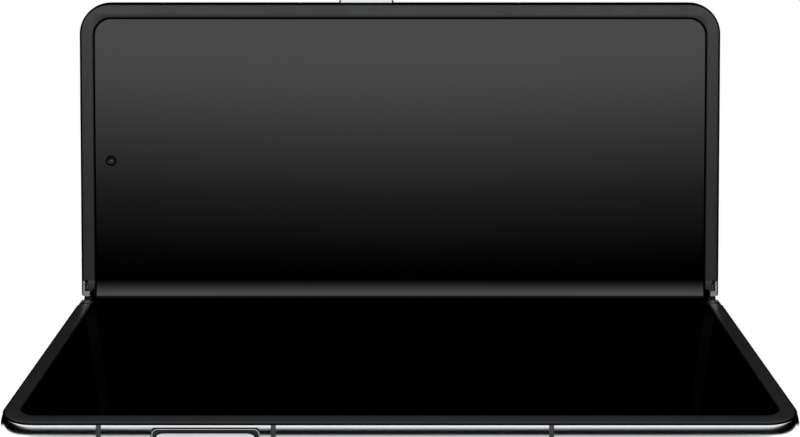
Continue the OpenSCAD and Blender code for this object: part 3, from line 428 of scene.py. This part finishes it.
def box(x0, x1, y0, y1):
    return [(x0, y0), (x1, y0), (x1, y1), (x0, y1)]


def pill(w, h, from_z, to_z, steps=8):
    """Stadium shape round the origin."""
    return plate(box(-w / 2, w / 2, -h / 2, h / 2), from_z, to_z, [(range(4), 0.499 * h)], steps)


def disc(r, from_z, to_z, x=0.0, y=0.0, segments=48):
    bm = bmesh.new()
    middle = Matrix.Translation((x, y, (from_z + to_z) / 2))
    bmesh.ops.create_cone(bm, cap_ends=True, segments=segments, radius1=r, radius2=r,
                          depth=to_z - from_z, matrix=middle)
    return bm


def lathe(profile, x=0.0, y=0.0, steps=64):
    """Spins (radius, height) points about the line through (x, y)."""
    bm = bmesh.new()
    line = [bm.verts.new((x + r, y, z)) for r, z in profile]
    edges = [bm.edges.new(pair) for pair in zip(line, line[1:])]
    bmesh.ops.spin(bm, geom=line + edges, cent=(x, y, 0), axis=(0, 0, 1), angle=2 * math.pi,
                   steps=steps, use_merge=True)
    bmesh.ops.remove_doubles(bm, verts=bm.verts, dist=1e-4)
    bmesh.ops.recalc_face_normals(bm, faces=bm.faces)
    return bm


def soften(bm, width, steps=2, angle=30, where=lambda c: True):
    edges = [e for e in bm.edges if len(e.link_faces) == 2 and e.calc_face_angle(0) > math.radians(angle)
             and where((e.verts[0].co + e.verts[1].co) / 2)]
    bmesh.ops.bevel(bm, geom=edges, offset=width, segments=steps, profile=0.5, affect="EDGES",
                    clamp_overlap=True, material=-1)
    return bm


def join(*parts):
    """One bmesh out of several."""
    whole = bmesh.new()
    for part in parts:
        mesh = bpy.data.meshes.new("joined")
        part.to_mesh(mesh)
        part.free()
        whole.from_mesh(mesh)
        bpy.data.meshes.remove(mesh)
    return whole


def carve(bm, *tools, operation="DIFFERENCE"):
    """Cuts the tools from a shape, or keeps what lies within them."""
    made = []
    for shape in (bm, *tools):
        mesh = bpy.data.meshes.new("shape")
        shape.to_mesh(mesh)
        shape.free()
        made.append(bpy.data.objects.new("shape", mesh))
        scene.collection.objects.link(made[-1])
    for tool in made[1:]:
        cutter = made[0].modifiers.new("cut", "BOOLEAN")
        cutter.operation, cutter.solver, cutter.object = operation, "EXACT", tool
    bpy.context.view_layer.update()
    result = bmesh.new()
    result.from_mesh(made[0].evaluated_get(bpy.context.evaluated_depsgraph_get()).data)
    for o in made:
        mesh = o.data
        bpy.data.objects.remove(o)
        bpy.data.meshes.remove(mesh)
    return result


def facing(bm, x, y, z, along="outer"):
    """Turns a shape drawn flat so that its height points into the outer wall or the +X side wall."""
    axes = {"outer": ((1, 0, 0), (0, 0, 1), (0, 1, 0)), "side": ((0, 0, 1), (1, 0, 0), (0, 1, 0))}[along]
    bm.transform(Matrix.Translation((x, y, z)) @ Matrix(axes).to_4x4())
    bmesh.ops.recalc_face_normals(bm, faces=bm.faces)
    return bm


print("modelling helpers ready")

# %% [markdown]
# ## Frames
# One section of the side wall, with a shallow bulge and small rounded edges, is swept along the
# straight sides and spun round the corners. Gaps are left for the plastic antenna strips.

# %% Frame section
BULGE, FILLET, INSET = 7.5, 0.3, 1.0
WALL, CAP_WALL, LEDGE, SHELF = 1.7, 1.3, 2.4, 3.2
tip = math.asin(((RIM + DEPTH) / 2 - FILLET) / (BULGE - FILLET))
EDGE = BULGE - (BULGE - FILLET) * math.cos(tip)


def arc(s, z, r, start, stop, steps):
    angles = [start + (stop - start) * i / steps for i in range(steps + 1)]
    return [(s - r * math.cos(a), z + r * math.sin(a)) for a in angles]


curve = (arc(EDGE, RIM - FILLET, FILLET, math.pi / 2, tip, 5) + arc(BULGE, KEY_Z, BULGE, tip, -tip, 20)[1:]
         + arc(EDGE, FILLET - DEPTH, FILLET, -tip, -math.pi / 2, 5)[1:])
seat = [(INSET - 0.03, -DEPTH), (INSET, 0.05 - DEPTH), (INSET, LEDGE_BOTTOM)]
ledge = [(LEDGE, LEDGE_BOTTOM), (LEDGE, LEDGE_TOP)]
shelf = [(WALL, WEB_BOTTOM), (SHELF, WEB_BOTTOM), (SHELF, WEB_TOP)]
rim = [(INSET, WEB_TOP), (INSET, RIM - 0.06), (INSET - 0.04, RIM)]
SECTION = curve + seat + ledge + [(WALL, LEDGE_TOP)] + shelf + rim
STRIP_SECTION = curve + seat + [(WALL, LEDGE_BOTTOM), (WALL, WEB_TOP)] + rim
CAP_SECTION = curve + seat + ledge + [(CAP_WALL, LEDGE_TOP), (CAP_WALL, RIM)] + rim[-1:]
print(len(SECTION), "points in the frame's section")


def loop(bm, section, x):
    line = [bm.verts.new((x, WIDTH - inset, z)) for inset, z in section]
    return [bm.edges.new((line[i - 1], line[i])) for i in range(len(line))]


def grow(bm, edges, vector):
    made = bmesh.ops.extrude_edge_only(bm, edges=edges)["geom"]
    bmesh.ops.translate(bm, verts=[g for g in made if isinstance(g, bmesh.types.BMVert)], vec=vector)
    return [g for g in made if isinstance(g, bmesh.types.BMEdge) and len(g.link_faces) == 1]


def straight(section, x0, x1):
    bm = bmesh.new()
    grow(bm, loop(bm, section, x0), (x1 - x0, 0, 0))
    bmesh.ops.holes_fill(bm, edges=bm.edges[:], sides=0)
    return bm


def corner(section, x0, side, end_y):
    """From x0 along the outer edge, round the corner and down the side to end_y."""
    bm = bmesh.new()
    edges = grow(bm, loop(bm, section, x0), (HALF - CORNER - x0, 0, 0))
    made = bmesh.ops.spin(bm, geom=edges, cent=(HALF - CORNER, WIDTH - CORNER, 0), axis=(0, 0, 1),
                          angle=-math.pi / 2, steps=20)["geom_last"]
    edges = [g for g in made if isinstance(g, bmesh.types.BMEdge)]
    grow(bm, edges, (0, end_y + CORNER - WIDTH, 0))
    bmesh.ops.holes_fill(bm, edges=bm.edges[:], sides=0)
    if side < 0:
        bmesh.ops.scale(bm, verts=bm.verts, vec=(-1, 1, 1))
    return bm


# %% [markdown]
# The slots for the keys, the card tray, the port and the sound holes are cut from the swept wall,
# and a flat web and a hinge-side wall close the frame inside. The rocker lies in a shallow recess
# with a thin bright lip, and a black lining on the recess floor is painted shade.

# %% Frames
CAP_END = 3.9
BAY_Y, BAY_WALL = 6.8, 0.8  # wall that closes the hinge bay
PLAY = 0.2  # the slots are this much larger than the keys and the tray
SLOT_DEPTH = 2.2
STRIP_HALF = 0.5
HOLE_R, HOLE_STEP = 0.55, 2.4
TRAY_DOOR = (15.5, 2.6)
RECESS_SIDE, RECESS_UP, RECESS_R = 0.65, 2.75, 0.8  # recess round the rocker
LIP_SIDE, LIP_UP, LIP_R, LIP = 0.5, 2.42, 1.2, 0.08
SIDE_HOLES = {"lower": [(1, 21), (-1, 52)], "upper": [(1, 21)]}
KEYS = {"lower": (flat("volume_key", "lower")[2].x, 19.8, 3.6),
        "upper": (flat("power_key", "upper")[2].x, 13.4, 2.3)}
SIDE_SLOT = {"lower": (TRAY.y, TRAY_DOOR[0] + PLAY, TRAY_DOOR[1] + PLAY, TRAY.z),
             "upper": (PORT.y, 9.14, 3.36, PORT.z)}


def hole_row(side, middle, r, from_w, to_w):
    rows = [disc(r, from_w, to_w, HOLE_STEP * i, 0, 24) for i in range(-2, 3)]
    bm = facing(join(*rows), HALF, middle, KEY_Z, "side")
    if side < 0:
        bmesh.ops.scale(bm, verts=bm.verts, vec=(-1, 1, 1))
    return bm


def round_key(side, up, from_w, to_w, r):
    """Plate round the rocker that stands side beyond its ends and up beyond its middle line."""
    reach = KEYS["lower"][1] / 2 + side
    return plate(box(-reach, reach, -up, up), from_w, to_w, [(range(4), r)])


for half in ("lower", "upper"):
    x, w, h = KEYS[half]
    mid_y, slot_w, slot_h, slot_z = SIDE_SLOT[half]
    tools = [facing(pill(w + PLAY, h + PLAY, -SLOT_DEPTH, 1), x, WIDTH, KEY_Z)]
    if half == "lower":
        tools.append(facing(round_key(RECESS_SIDE, RECESS_UP, -0.7, 1, RECESS_R), x, WIDTH, KEY_Z))
    tools.append(facing(pill(slot_w, slot_h, -SLOT_DEPTH, 1), HALF, mid_y, slot_z, "side"))
    tools += [hole_row(side, middle, HOLE_R, -2.4, 1) for side, middle in SIDE_HOLES[half]]
    gaps = [(s - STRIP_HALF, s + STRIP_HALF) for s in STRIPS]
    shapes = [corner(SECTION, -gaps[0][0], -1, CAP_END), corner(SECTION, gaps[2][1], 1, CAP_END),
              straight(SECTION, gaps[0][1], gaps[1][0]), straight(SECTION, gaps[1][1], gaps[2][0])]
    wall = carve(join(*shapes), *tools)
    web = plate(box(-HALF + 3, HALF - 3, BAY_Y, WIDTH - 3), WEB_BOTTOM, WEB_TOP, [((2, 3), 5)])
    if half == "upper":
        web = carve(web, disc(1.4, -3, 0, *PUNCH))
    skirt = plate(box(LEDGE - HALF, HALF - LEDGE, NEAR_EDGE, BAY_Y + BAY_WALL), LEDGE_BOTTOM, LEDGE_TOP)
    bay = plate(box(WALL - HALF, HALF - WALL, BAY_Y, BAY_Y + BAY_WALL), LEDGE_TOP, WEB_TOP)
    put(half + "_frame_shell", join(wall, web, skirt, bay), half, "frame_metal",
        stands_for=[half + "_frame"])
    strips = [straight(STRIP_SECTION, start + 0.01, stop - 0.01) for start, stop in gaps]
    put(half + "_antenna_lines", join(*strips), half, "antenna_plastic",
        stands_for=[half + "_antenna_strips"])
    meshes = [hole_row(side, middle, HOLE_R + 0.07, -1.75, -1.6) for side, middle in SIDE_HOLES[half]]
    put(half + "_sound_mesh", join(*meshes), half, "speaker_black")
    seal = facing(pill(w + 0.19, h + 0.19, -0.75, -0.55), x, WIDTH, KEY_Z)
    put(half + "_key_seal", seal, half, "gap_black")
x, w, h = KEYS["lower"]
# Painted shade: a near-black sheet lines the floor of the recess round the rocker.
painted_recess_shade = carve(round_key(RECESS_SIDE - 0.03, RECESS_UP - 0.03, -0.69, -0.5, RECESS_R - 0.02),
               pill(w + PLAY, h + PLAY, -1, 0))
lip = carve(round_key(LIP_SIDE, LIP_UP, -0.52, -0.44, LIP_R),
            round_key(LIP_SIDE - LIP, LIP_UP - LIP, -1, 0, LIP_R - LIP))
put("volume_key_lining", facing(painted_recess_shade, x, WIDTH, KEY_Z), "lower", "gap_black")
put("volume_key_lip", facing(lip, x, WIDTH, KEY_Z), "lower", "frame_metal")
print("frames, strips and seals")

# %% [markdown]
# Each hinge-side end of a frame is a bright metal cap. Seen from above it is rounded, and a small
# hook of it turns inwards along the fold.

# %% Hinge caps
HOOK_X, HOOK_TOP = HALF - 2.5, 0.15
CAP_R = 1.3  # rounding of the cap, seen from above


def cap(side):
    run = bmesh.new()
    line = [run.verts.new((HALF - inset, NEAR_EDGE, z)) for inset, z in CAP_SECTION]
    edges = [run.edges.new((line[i - 1], line[i])) for i in range(len(line))]
    grow(run, edges, (0, CAP_END - NEAR_EDGE, 0))
    bmesh.ops.holes_fill(run, edges=run.edges[:], sides=0)
    bmesh.ops.recalc_face_normals(run, faces=run.faces)
    parts = []
    middle = NEAR_EDGE + CAP_R
    for solid in (run, plate(box(HOOK_X, HALF - 1.2, NEAR_EDGE, 1.35), -1.2, HOOK_TOP)):
        outside = plate(box(HALF - CAP_R, HALF + 1, -1, middle), -8, 2)
        parts.append(carve(solid, carve(outside, disc(CAP_R, -9, 3, HALF - CAP_R, middle, 64))))
    whole = join(*parts)
    if side < 0:
        bmesh.ops.scale(whole, verts=whole.verts, vec=(-1, 1, 1))
    return whole


for half in ("lower", "upper"):
    put(half + "_hinge_end", join(cap(1), cap(-1)), half, "polished_cap", stands_for=[half + "_hinge_caps"])
print("hinge caps")

# %% [markdown]
# ## Bezels
# A raised soft-plastic band runs round three sides of each half and covers the panel's edge. A
# short tongue runs on at each end towards the fold. A thin black band that barely reflects lies on
# the metal rim and hides its rounded edge: a painted dark reflection.

# %% Bezels
xi, yi = HALF - SIDE_BORDER, WIDTH - OUTER_BORDER
OVERLAP = 0.05


def band(outset, x, y, from_z, to_z, r):
    """Three-sided band from outset inside the half's edge to the inner lines at x and y."""
    xo, yo = HALF - outset, WIDTH - outset
    points = [(xo, BEZEL_END), (xo, yo), (-xo, yo), (-xo, BEZEL_END), (-x, BEZEL_END), (-x, y), (x, y),
              (x, BEZEL_END)]
    return plate(points, from_z, to_z, [((1, 2), CORNER - outset), ((5, 6), r)], 16)


for half in ("lower", "upper"):
    tops = [band(SEAT, xi, yi, 0.0, BEZEL_TOP, VIEW_R)]
    for side in (1, -1):
        x0, x1 = sorted((side * xi, side * (HALF - 2.2)))
        tops.append(plate(box(x0, x1, 1.85, BEZEL_END + 0.1), 0, BEZEL_TOP))
    tops = [soften(top, 0.16, 3, where=lambda c: c.z > BEZEL_TOP - 0.01) for top in tops]
    foot = band(SEAT, PANEL_X + OVERLAP, PANEL_Y + OVERLAP, WEB_TOP, 0.0, PANEL_R)
    put(half + "_bezel_band", join(*tops, foot), half, "bezel_plastic", stands_for=[half + "_bezel"])
    inner = SEAT + OVERLAP
    # Painted dark reflection: this black band over the metal rim stands in for the rim's dark mirror image.
    seal = band(0.62, HALF - inner, WIDTH - inner, RIM + 0.01, RIM + 0.05, CORNER - inner)
    put(half + "_rim_painted_dark_band", seal, half, "screen_edge", slot="screen_black")
print("bezels")

# %% [markdown]
# ## Display
# The panel is one sheet. It is drawn as two pieces that meet at the fold line and are bent at the
# hinge: almost flat at first, then a tight curve. A thin glossy film lies on top and stops short
# of the bezel, so the matt panel under it shows as a fine black line all round, which is painted
# shade for the shadowed step at the bezel's inner edge. The lower film is a copy of the same glass
# with a lower IOR, so it reflects very little, as painted shade, because the photo shows that
# screen quite black.

# %% Display
TIGHT_R, TIGHT, GENTLE = 1.9, math.radians(32.5), 3.7
STEP = 0.1


def fold_line():
    """(y, z) of the panel's face in the spine's frame, from the fold line out."""
    y = z = s = 0.0
    line = [(0.0, 0.0)]
    while s < TIGHT_R * TIGHT + GENTLE:
        s += STEP
        inner = min(s, TIGHT_R * TIGHT) / TIGHT_R
        outer = (REST - TIGHT) * min(1, max(0, s - TIGHT_R * TIGHT) / GENTLE)
        y += STEP * math.cos(inner + outer)
        z += STEP * math.sin(inner + outer)
        line.append((y, z))
    y, z = line[-1]
    drop = (-AXIS_Z + (y - AXIS_Y) * math.sin(REST)) / math.cos(REST) + AXIS_Z - z
    return [(a, b + drop) for a, b in line]


fold = fold_line()
back = turn(AXIS_Y, AXIS_Z, -REST)
flat_fold = [back @ Vector((0, y, z)) for y, z in fold]
print("fold dips to", round(fold[0][1], 3), "and is flat from", round(flat_fold[-1].y, 3))


def sheet(side_x, outer_y, lift, thick, r):
    """Part of the panel over one half, in that half's flat frame."""
    line = [(p.y, p.z + lift) for p in flat_fold]
    line += [(y, lift) for y in (8, 14, 22, 32, 44, 56, outer_y)]
    xs = [-side_x + i * 2 * side_x / 24 for i in range(25)]
    bm = bmesh.new()
    points = [bm.verts.new((xs[0], y, z)) for y, z in line]
    edges = [bm.edges.new(pair) for pair in zip(points, points[1:])]
    for a, b in zip(xs, xs[1:]):
        made = bmesh.ops.extrude_edge_only(bm, edges=edges)["geom"]
        moved = [g for g in made if isinstance(g, bmesh.types.BMVert)]
        bmesh.ops.translate(bm, verts=moved, vec=(b - a, 0, 0))
        edges = [g for g in made if isinstance(g, bmesh.types.BMEdge)]
    bmesh.ops.recalc_face_normals(bm, faces=bm.faces)
    if bm.faces[0].normal.z < 0:
        bmesh.ops.reverse_faces(bm, faces=bm.faces)
    corners = [v for v in bm.verts if abs(v.co.x) > side_x - 0.01 and v.co.y > outer_y - 0.01]
    bmesh.ops.bevel(bm, geom=corners, offset=r, segments=12, profile=0.5, affect="VERTICES", material=-1)
    bmesh.ops.solidify(bm, geom=bm.faces[:], thickness=thick)
    return bm


# Painted shade: the open strip of matt black panel stands in for the shadowed step at the bezel's inner edge.
FILM_SIDE, FILM_OUTER = 0.42, 0.4  # black line that the film leaves open
for half, pair in (("lower", ("lower_half", "hinge_spine")), ("upper", ("upper_half", "hinge_spine"))):
    panel = sheet(PANEL_X - 0.1, PANEL_Y, 0.0, 0.12, PANEL_R)
    film = sheet(xi - FILM_SIDE, yi - FILM_OUTER, 0.06, 0.05, VIEW_R - FILM_OUTER)
    if half == "upper":
        panel = carve(panel, disc(1.3, -2, 1, *PUNCH, 64))
        film = carve(film, disc(1.32, -2, 1, *PUNCH, 64))
    # The lower half's film takes the less reflective copy of the screen glass, as painted shade.
    glossy = "screen_lower" if half == "lower" else "screen_black"
    stands = [half + "_display"] + (["display_fold"] if half == "lower" else [])
    for name, bm, material, nodes in (("panel", panel, "screen_edge", stands), ("film", film, glossy, [])):
        obj = put(f"{half}_display_{name}", bm, half, material, slot="screen_black", ride=False,
                  stands_for=nodes)
        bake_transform(obj)
print("display")

# %% [markdown]
# ## Glass backs
# The lower half's outer glass is glossy, because the cover display lies behind it. The upper
# half's glass is satin and has a window for the cameras.

# %% Glass
for half, name in (("lower", "cover_glass"), ("upper", "rear_glass")):
    x, y = HALF - SEAT, WIDTH - SEAT
    glass = plate(box(-x, x, NEAR_EDGE, y), -DEPTH, 0.6 - DEPTH, [((2, 3), CORNER - SEAT)], 16)
    soften(glass, 0.12, 3, where=lambda c: c.z < 0.01 - DEPTH)
    if half == "lower":
        glass = carve(glass, disc(1.95, -8, 0, *COVER_CAM))
    else:
        window = [c + offset for c in ISLAND[2].xy for offset in (-14.5, 14.5)]
        glass = carve(glass, plate(box(*window), -8, 0, [(range(4), 6.5)]))
    put(name + "_pane", glass, half, name, stands_for=[name])
print("glass panes")

# %% [markdown]
# ## Cameras
# Each lens is a stack of turned parts: a metal ring, a stepped black barrel, a domed element and a
# flat cover. The inner camera and the cover camera are smaller versions of the same stack.

# %% Cameras
BACK = -DEPTH


def barrel(r, depth, z, x, y, out=-1):
    """Stepped black well of radius r that goes depth inwards from z, closed behind."""
    steps = [(r, 0), (r * 0.93, 0), (r * 0.88, 0.12), (r * 0.72, 0.3), (r * 0.7, 0.42), (r * 0.52, 0.5),
             (r * 0.5, 0.62), (0.001, 0.62), (0.001, 1.0), (r, 1.0)]
    return lathe([(a, z - out * b * depth) for a, b in steps + steps[:1]], x, y)


def dome(r, rise, z, x, y, out=-1):
    """Domed lens element with a flat inner side."""
    line = [(0.001, z + out * rise)] + [(r * math.sin(a), z + out * rise * math.cos(a)) for a in
                                       [math.pi / 2 * i / 8 for i in range(1, 9)]] + [(0.001, z)]
    return lathe(line, x, y)


LENSES = {name: flat(name, "upper")[2].xy for name in ("main_camera", "wide_camera", "tele_camera")}
FLASH = flat("flash_lens", "upper")[2].xy
ISLAND_RISE = 1.9
FRONT = BACK - ISLAND_RISE - 0.45
corners = box(ISLAND[0].x, ISLAND[1].x, ISLAND[0].y, ISLAND[1].y)
island = plate(corners, BACK - ISLAND_RISE, BACK, [(range(4), 9.5)], 16)
soften(island, 0.55, 4, where=lambda c: c.z < BACK - ISLAND_RISE + 0.1)
holes = [disc(5.85, -12, 0, *p) for p in LENSES.values()] + [disc(1.85, -12, 0, *FLASH)]
put("camera_island_body", carve(island, *holes), "upper", "island_metal", stands_for=["camera_island"])
for name, (x, y) in LENSES.items():
    ring = [(5.8, BACK + 0.4), (5.8, FRONT + 0.25), (5.7, FRONT + 0.07), (5.5, FRONT), (4.95, FRONT),
            (4.8, FRONT + 0.08), (4.75, FRONT + 0.25), (4.75, FRONT + 0.9), (5.0, BACK + 0.4)]
    put(name + "_ring", lathe([(r, z) for r, z in ring + ring[:1]], x, y), "upper", "polished_cap")
    body = plate(box(x - 5.75, x + 5.75, y - 5.75, y + 5.75), -5.0, -1.6)
    well = barrel(4.74, 3.0, FRONT + 0.75, x, y)
    put(name + "_barrel", join(well, body), "upper", "camera_black", stands_for=[name])
    put(name + "_lens", join(dome(2.3, 0.7, FRONT + 2.6, x, y), dome(1.2, 0.35, FRONT + 1.9, x, y)),
        "upper", "lens_coat", slot="camera_black")
covers = [soften(disc(4.67, FRONT + 0.12, FRONT + 0.6, *p), 0.06) for p in LENSES.values()]
put("lens_cover_panes", join(*covers), "upper", "lens_glass", stands_for=["lens_covers"])
lamp = lathe([(0.001, BACK - 1.83), (1.5, BACK - 1.83), (1.75, BACK - 1.75), (1.78, BACK - 1.6),
              (1.78, BACK + 0.2), (0.001, BACK + 0.2)], *FLASH)
put("flash_window", lamp, "upper", "flash_lens", stands_for=["flash_lens"])

x, y = PUNCH
ring = [(1.28, -0.3), (1.28, -0.05), (0.92, -0.05), (0.92, -0.3)]
put("inner_camera_ring", lathe(ring + ring[:1], x, y), "upper", "screen_edge", slot="camera_black")
well = [(0.91, -0.6), (0.91, -0.1), (0.85, -0.1), (0.6, -0.32), (0.58, -0.5), (0.001, -0.55), (0.001, -2.0),
        (1.2, -2.0), (1.2, -0.6)]
body = plate(box(x - 2.5, x + 2.5, y - 2.5, y + 2.5), -4.2, -1.6)
put("inner_camera_barrel", join(lathe(well + well[:1], x, y), body), "upper", "camera_black",
    stands_for=["inner_camera"])
put("inner_camera_lens", dome(0.42, 0.24, -0.5, x, y, out=1), "upper", "lens_coat", slot="camera_black")
x, y = COVER_CAM
front = BACK + 0.05
body = plate(box(x - 3.2, x + 3.2, y - 3.2, y + 3.2), -4.2, -1.6)
put("cover_camera_barrel", join(barrel(1.88, 1.4, front, x, y), body), "lower", "camera_black",
    stands_for=["cover_camera"])
put("cover_camera_lens", dome(0.9, 0.3, front + 0.65, x, y), "lower", "lens_coat", slot="camera_black")
print("cameras")

# %% [markdown]
# ## Keys, card tray and port
# Keys and tray are flat-faced metal with softened edges, and each one fills its slot in the frame.

# %% Keys
for half, rise in (("lower", 0.15), ("upper", 0.5)):
    x, w, h = KEYS[half]
    key = soften(pill(w, h, -1.45, rise), 0.16 if half == "upper" else 0.1, 3, where=lambda c: c.z > 0)
    neck = pill(w - 1, 2.2, -2.1, -1.45)
    name = {"lower": "volume_key", "upper": "power_key"}[half]
    put(name + "_cap", facing(join(key, neck), x, WIDTH, KEY_Z), half, "frame_metal", body=name,
        stands_for=[name])
face = pill(*TRAY_DOOR, -1.5, -0.02, 10)
face = carve(soften(face, 0.08, where=lambda c: c.z > -0.1), disc(0.45, -3, 1, 6.05, 0, 24))
card_x0, card_x1 = (corner.x for corner in flat("sim_card", "lower")[:2])
sled = plate(box(card_x0 - 0.75, HALF - 1.45, TRAY.y - 5.3, TRAY.y + 5.3), TRAY.z - 0.65, TRAY.z + 0.65)
sled = carve(sled, plate(box(card_x0 - 0.05, card_x1 + 0.05, TRAY.y - 4.45, TRAY.y + 4.45), TRAY.z - 0.25, 0))
put("card_tray", join(facing(face, HALF, TRAY.y, TRAY.z, "side"), sled), "lower", "frame_metal",
    body="sim_tray", stands_for=["sim_tray"])
print("keys and tray")

# %% [markdown]
# ## Hinge spine
# Seen from behind, the spine is a smooth metal trough round both hinge axes, closed by black ends
# with a low block that reaches into the hinge caps. The ends are black plastic, made near black
# beyond their bezel plastic as painted shade of the hinge gap.

# %% Spine


def trough(r, top, x0, x1, inner=None):
    """Shape below top that stays within r of both hinge axes, drawn along X."""
    angle = math.asin((top - AXIS_Z) / r)

    def side(q, a):
        half_line = [(AXIS_Y + q * math.cos(t), AXIS_Z + q * math.sin(t)) for t in
                     [a + (-math.pi / 2 - a) * i / 24 for i in range(25)]]
        return half_line + [(-y, z) for y, z in reversed(half_line)]

    points = side(r, angle)
    if inner:
        points += list(reversed(side(inner, math.asin((top - AXIS_Z) / inner))))
    bm = bmesh.new()
    bm.faces.new([bm.verts.new((x0, y, z)) for y, z in points])
    return raised(bm, (x1 - x0, 0, 0))


COVER_END, COVER_TOP, COVER_R, COVER_WALL = HALF - 3.7, -2.2, 5.45, 0.7
cover = trough(COVER_R, COVER_TOP, -COVER_END, COVER_END, COVER_R - COVER_WALL)
soften(cover, 0.08, where=lambda c: c.z > COVER_TOP - 0.01)
put("spine_shell", cover, "spine", "spine_metal", slot="polished_cap", stands_for=["spine_cover"],
    smooth=40)
HEAD_R, HEAD_TOP = 2.35, -0.7
BLOCK_Y, BLOCK_BOTTOM, BLOCK_TOP = 2.95, -4.85, -1.76
ends = []
for side in (-1, 1):
    x0, x1 = sorted((side * (COVER_END + 0.01), side * (HALF - 2.71)))
    ends += [trough(COVER_R, COVER_TOP, x0, x1), soften(trough(HEAD_R, HEAD_TOP, x0, x1), 0.1)]
    x0, x1 = sorted((side * (COVER_END + 0.5), side * (HALF - 0.92)))
    ends.append(plate(box(x0, x1, -BLOCK_Y, BLOCK_Y), BLOCK_BOTTOM, BLOCK_TOP))
# The ends take gap_black instead of their bezel plastic: real black plastic, darkened further as painted shade of
# the hinge gap.
put("spine_ends", join(*ends), "spine", "gap_black", slot="bezel_plastic",
    stands_for=["spine_end_caps"], smooth=40)
print("spine")

# %% [markdown]
# ## Inside
# The parts inside stay as the CAD made them. Each takes the material of its slot, and any node
# without one would show up here as missing.

# %% Inner parts
by_node = {s["node"]: s["material_slot"] for s in frame["record"]["subparts"]}
for name, obj in frame["nodes"].items():
    obj.data.materials.clear()
    obj.data.materials.append(look[by_node[name]].material)
shown = [n for n, o in frame["nodes"].items() if not o.hide_render]
print("CAD nodes that still show:", ", ".join(sorted(shown)))
